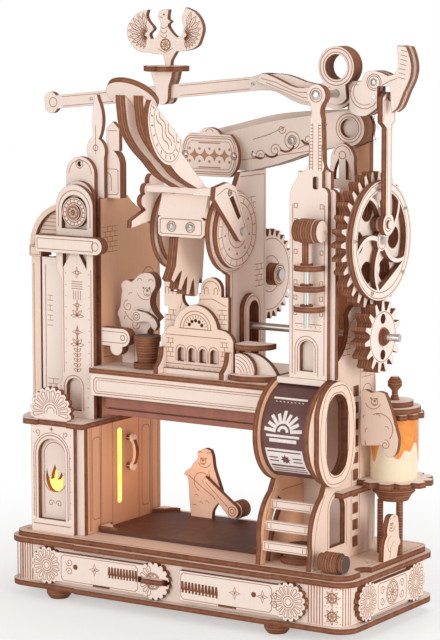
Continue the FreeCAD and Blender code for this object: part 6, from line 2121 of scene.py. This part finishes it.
@dataclass
class FigureTrim:
    """Engraved faces and fur of the bears."""

    palette: Palette

    def face(self, e: Engraver, u: float, v: float, r: float, turn: int) -> None:
        """Bear face: two eyes, a snout with a nose, a mouth, a brow and inner ears.

        Args:
            e: The engraver.
            u: Middle of the face along u.
            v: Middle of the face along v.
            r: Radius of the head.
            turn: 1 looks right, -1 left.
        """
        for s in (-1, 1):
            e.dot(u + s * 0.32 * r + turn * 0.12 * r, v + 0.12 * r, 0.10 * r)
            e.line(arc(u + s * 0.58 * r, v + 0.66 * r, 0.24 * r, 10, 170), 0.36)
        e.line(arc(u + turn * 0.18 * r, v - 0.22 * r, 0.36 * r)[:-1], 0.36, True)
        e.dot(u + turn * 0.2 * r, v - 0.10 * r, 0.14 * r)
        e.line(arc(u + turn * 0.18 * r, v - 0.32 * r, 0.16 * r, 200, 340), 0.36)
        e.line(arc(u, v, 0.92 * r, 205, 335), 0.36)

    def fur(self, e: Engraver, spots: list[tuple[float, float, float]]) -> None:
        """Short curved strokes of fur.

        Args:
            e: The engraver.
            spots: Place and direction of each stroke.
        """
        for u, v, a in spots:
            e.line(arc(u, v, 1.5, a, a + 110), 0.34)

    def build(self) -> None:
        """Make the drawings on the frame's figures."""
        e = Engraver("figure_engraving", "frame", self.palette.line)
        e.on(CAVITY_BEAR)
        self.face(e, -28.4, 72, 5, -1)
        e.line(arc(-30, 59, 5.4, 60, 250), 0.4)
        e.line([(-39, 62), (-33, 58), (-27, 54), (-22, 51)], 0.4)
        e.line([(-25.6, 66), (-23.4, 56), (-21.4, 50)], 0.36)
        self.fur(e, [(-34, 50, 20), (-31, 46, 10), (-35, 44, 40), (-27, 47, 0),
                     (-26, 62, 80)])
        e.on(CAVITY_TOOL)
        e.line([(-26, 60), (-10.5, 46.8)], 0.34)
        e.ring(-8, 45, 2.6, 1.3)
        e.on(STAGE_BEAR)
        self.face(e, -42.4, 172, 6.4, 1)
        e.scroll(-54, 162, 3.4, 90, 1.3)
        e.scroll(-49, 152, 3, 0, -1.3)
        e.line(arc(-48, 162, 8.6, 200, 330), 0.4)
        e.line([(-57, 134), (-57, 146), (-54, 150)], 0.36)
        e.line([(-49.6, 131), (-50, 145)], 0.36)
        self.fur(e, [(-52, 168, 60), (-45, 157, 10), (-55, 155, 100), (-46, 140, 0),
                     (-53.5, 140, 30), (-40.6, 161, 280)])
        e.on(BEAR_ARM)
        e.ring(-46.5, 157, 2.2, 1.1)
        e.line(arc(-36, 154.6, 2.4, 20, 120), 0.34)
        e.on(LANTERN_BEAR)
        self.face(e, 97, 122, 5.4, 1)
        e.line(arc(101, 107, 8, -40, 120), 0.4)
        e.line(arc(98, 100, 5.6, 180, 320), 0.4)
        e.scroll(104.6, 98.6, 2.8, 90, -1.3)
        self.fur(e, [(92.6, 112, 90), (94, 105, 100), (100, 113, 20), (96, 98, 200),
                     (105, 107, 0), (101, 95, 210)])
        e.on(END_BEAR)
        self.face(e, 2.6, 55.6, 4.2, -1)
        e.line(arc(2.4, 45, 4.4, 100, 260), 0.36)
        e.line([(0.6, 37.5), (1.2, 43), (5, 46)], 0.36)
        e.build()


@dataclass(frozen=True)
class Studio:
    """Floor, lights and the camera at the photograph's angle."""

    azimuth: float = 32.6
    elevation: float = 7.8
    target_z: float = 184.53
    distance: float = 1405.39
    shift_right: float = 0.505
    shift_up: float = -27.25
    lens: float = 145.4

    def axes(self) -> tuple[Array, Array, Array]:
        """Camera axes: right, up and back.

        Returns:
            Three unit vectors.
        """
        a, e = math.radians(self.azimuth), math.radians(self.elevation)
        right = np.array([math.cos(a), math.sin(a), 0.0])
        back = np.array([math.sin(a) * math.cos(e), -math.cos(a) * math.cos(e), math.sin(e)])
        return right, np.cross(back, right), back

    def camera(self) -> None:
        """Make the camera and give it to the scene."""
        right, up, back = self.axes()
        spot = (np.array([0.0, 0.0, self.target_z]) + self.distance * back + self.shift_right * right
                + self.shift_up * up) * MM
        data = bpy.data.cameras.new("camera")
        data.lens = self.lens
        data.sensor_width = 36.0
        data.clip_end = 20.0
        camera = bpy.data.objects.new("camera", data)
        turn = Matrix((right, up, back)).transposed().to_4x4()
        camera.matrix_world = Matrix.Translation(Vector(spot)) @ turn
        bpy.context.scene.collection.objects.link(camera)
        bpy.context.scene.camera = camera

    def area(self, name: str, place: tuple[float, float, float], size: float, power: float) -> None:
        """Add a square area light that looks at the middle of the object.

        Args:
            name: The light's name.
            place: Where it stands, in metres.
            size: Its side, in metres.
            power: Its power in watts.
        """
        data = bpy.data.lights.new(name, "AREA")
        data.size = size
        data.energy = power
        light = bpy.data.objects.new(name, data)
        aim = Vector((0.0, 0.0, 0.17)) - Vector(place)
        turn = aim.to_track_quat("-Z", "Y").to_matrix().to_4x4()
        light.matrix_world = Matrix.Translation(Vector(place)) @ turn
        bpy.context.scene.collection.objects.link(light)

    def strip(self) -> None:
        """Add the warm glow of the lamp strip in the press cavity, as a small point light."""
        data = bpy.data.lights.new("strip", "POINT")
        data.energy, data.color, data.shadow_soft_size = 0.017, (1.0, 0.52, 0.22), 0.02
        light = bpy.data.objects.new("strip", data)
        light.location = (-0.030, 0.004, 0.070)
        bpy.context.scene.collection.objects.link(light)

    def lights(self) -> None:
        """Soft light: a broad key from the front left, a fill from the right, one above, and the strip."""
        self.area("key", (-0.35, -1.7, 0.55), 1.0, 11.6)
        self.area("fill", (1.8, -0.35, 0.5), 1.1, 19.0)
        self.area("top", (0.1, 0.3, 1.7), 1.1, 9.0)
        self.strip()

    def world(self) -> None:
        """Low warm light from all round, which the camera sees as white."""
        world = bpy.data.worlds.new("studio")
        bpy.context.scene.world = world
        world.use_nodes = True
        tree = world.node_tree
        ground = tree.nodes["Background"]
        ground.inputs["Color"].default_value = (1.0, 0.965, 0.935, 1.0)
        ground.inputs["Strength"].default_value = 0.44
        white = tree.nodes.new("ShaderNodeBackground")
        white.inputs["Color"].default_value = (1.0, 1.0, 1.0, 1.0)
        white.inputs["Strength"].default_value = 1.0
        path = tree.nodes.new("ShaderNodeLightPath")
        seen = tree.nodes.new("ShaderNodeMath")
        seen.operation = "MAXIMUM"
        tree.links.new(path.outputs["Is Camera Ray"], seen.inputs[0])
        tree.links.new(path.outputs["Is Transmission Ray"], seen.inputs[1])
        mixed = tree.nodes.new("ShaderNodeMixShader")
        tree.links.new(seen.outputs[0], mixed.inputs[0])
        tree.links.new(ground.outputs[0], mixed.inputs[1])
        tree.links.new(white.outputs[0], mixed.inputs[2])
        tree.links.new(mixed.outputs[0], tree.nodes["World Output"].inputs[0])

    def floor(self) -> None:
        """Plain pale floor under the object."""
        mesh = bpy.data.meshes.new("floor")
        half = 6.0
        mesh.from_pydata([(-half, -half, 0.0), (half, -half, 0.0), (half, half, 0.0), (-half, half, 0.0)], [],
                         [(0, 1, 2, 3)])
        mesh.materials.append(Plain().make())
        floor = bpy.data.objects.new("floor", mesh)
        bpy.context.scene.collection.objects.link(floor)

    def build(self) -> None:
        """Set up the whole studio."""
        bpy.context.scene.view_settings.view_transform = "Standard"
        self.camera()
        self.lights()
        self.world()
        self.floor()


@dataclass
class Jar:
    """Wall of the lantern's jar, with the edge of its amber coat raised a little."""

    palette: Palette
    x: float = 99.5
    y: float = 18.0
    low: float = 77.5
    tall: float = 33.0
    radius: float = 13.0
    wall: float = 1.5
    raised: float = 0.35
    crisp: float = 60.0

    def drip(self, angle: Array) -> Array:
        """Height where the coat ends: 0.62 of the jar, less the runs, which are powers of sines of the angle.

        Args:
            angle: Angles round the jar.

        Returns:
            Shares of the jar's height.
        """
        runs = 0.24 * np.abs(np.sin(2.5 * angle + 0.6)) ** 5 + 0.14 * np.abs(np.sin(4.0 * angle)) ** 3
        return 0.62 - runs

    def build(self, node: str, body: str, slot: str) -> None:
        """Carry the wall's section once round the axis and close it at both ends.

        Args:
            node: The CAD node that the jar replaces.
            body: The body that it rides on.
            slot: The record's material slot; not used.
        """
        sides, rows = 96, 40
        angle = np.arange(sides) * 2 * np.pi / sides
        share = np.linspace(0.0, 1.0, rows)[:, None]
        coat = 1.0 / (1.0 + np.exp((self.drip(angle)[None, :] - share) * self.crisp))
        outer = self.radius - self.raised + self.raised * coat
        inner = np.full((2, sides), self.radius - self.wall)
        rise = np.vstack([self.low + self.tall * share, [[self.low + self.tall], [self.low + self.wall]]])
        reach = np.vstack([outer, inner])
        height = np.broadcast_to(rise, reach.shape)
        amount = np.vstack([coat, np.ones((1, sides)), np.zeros((1, sides))])
        points = np.stack([self.x + reach * np.cos(angle), self.y + reach * np.sin(angle), height], axis=-1)
        poles = [[self.x, self.y, self.low], [self.x, self.y, self.low + self.wall]]
        mesh = bpy.data.meshes.new("jar_shell")
        mesh.from_pydata(np.vstack([points.reshape(-1, 3), poles]) * MM, [], closed_skin(len(reach), sides))
        values = np.append(amount.ravel(), [0, 0])
        mesh.attributes.new("coat", "FLOAT", "POINT").data.foreach_set("value", values)
        mesh.materials.append(self.palette.glass)
        mesh.shade_smooth()
        mesh.set_sharp_from_angle(angle=math.radians(50.0))
        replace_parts(from_mesh("jar_shell", mesh, body), node)


@dataclass
class Carcass:
    """All CAD nodes of the press, each dressed by what it is made of."""

    palette: Palette

    def paint(self, node: str, material: bpy.types.Material) -> None:
        """Give a CAD node that keeps its shape its finish.

        Args:
            node: The CAD node.
            material: The finish.
        """
        for slot in frame["nodes"][node].material_slots:
            slot.material = material
        LOG.info("node %s painted %s", node, material.name)

    def build(self) -> None:
        """Dress every node."""
        dresser = SheetDresser(self.palette)
        slots = {s["node"]: s["material_slot"] for s in frame["record"]["subparts"]}
        bodies = {n: b for b, nodes in frame["record"]["behaviour"]["bodies"].items() for n in nodes}
        solid = {Kind.STEEL: self.palette.steel, Kind.CARD: self.palette.card, Kind.LAMP: self.palette.lamp}
        for node in sorted(frame["nodes"]):
            kind = KINDS.get(node, Kind.PLY)
            if kind is Kind.JAR:
                Jar(self.palette).build(node, bodies[node], slots[node])
            elif kind in solid:
                self.paint(node, solid[kind])
            elif kind is Kind.BED:
                self.paint(node, self.palette.bed if node == "cavity_floor" else self.palette.platen)
            else:
                dresser.dress(node, bodies[node], kind is Kind.DARK, TONES.get(node, Tone.PALE))


def main() -> None:
    """Build the studio and the press, in order."""
    logging.basicConfig(level=logging.INFO, format="%(name)s: %(message)s")
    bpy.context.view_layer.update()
    Studio().build()
    palette = Palette()
    Engraver.sheets = Sheets()
    Carcass(palette).build()
    for part in (BaseTrim, LeftTrim, HallTrim, DrumTrim, BeamTrim, RightTrim, LeverTrim, GearTrim,
                 FigureTrim):
        part(palette).build()


with open("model.json") as file:
    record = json.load(file)
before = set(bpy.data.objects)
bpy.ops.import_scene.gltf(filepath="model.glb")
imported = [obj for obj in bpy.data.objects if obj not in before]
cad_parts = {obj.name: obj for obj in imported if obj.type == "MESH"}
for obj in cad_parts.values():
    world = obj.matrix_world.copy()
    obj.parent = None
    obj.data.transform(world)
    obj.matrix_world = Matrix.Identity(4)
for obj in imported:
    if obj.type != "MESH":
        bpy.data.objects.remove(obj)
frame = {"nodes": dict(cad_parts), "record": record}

if __name__ == "__main__":
    main()
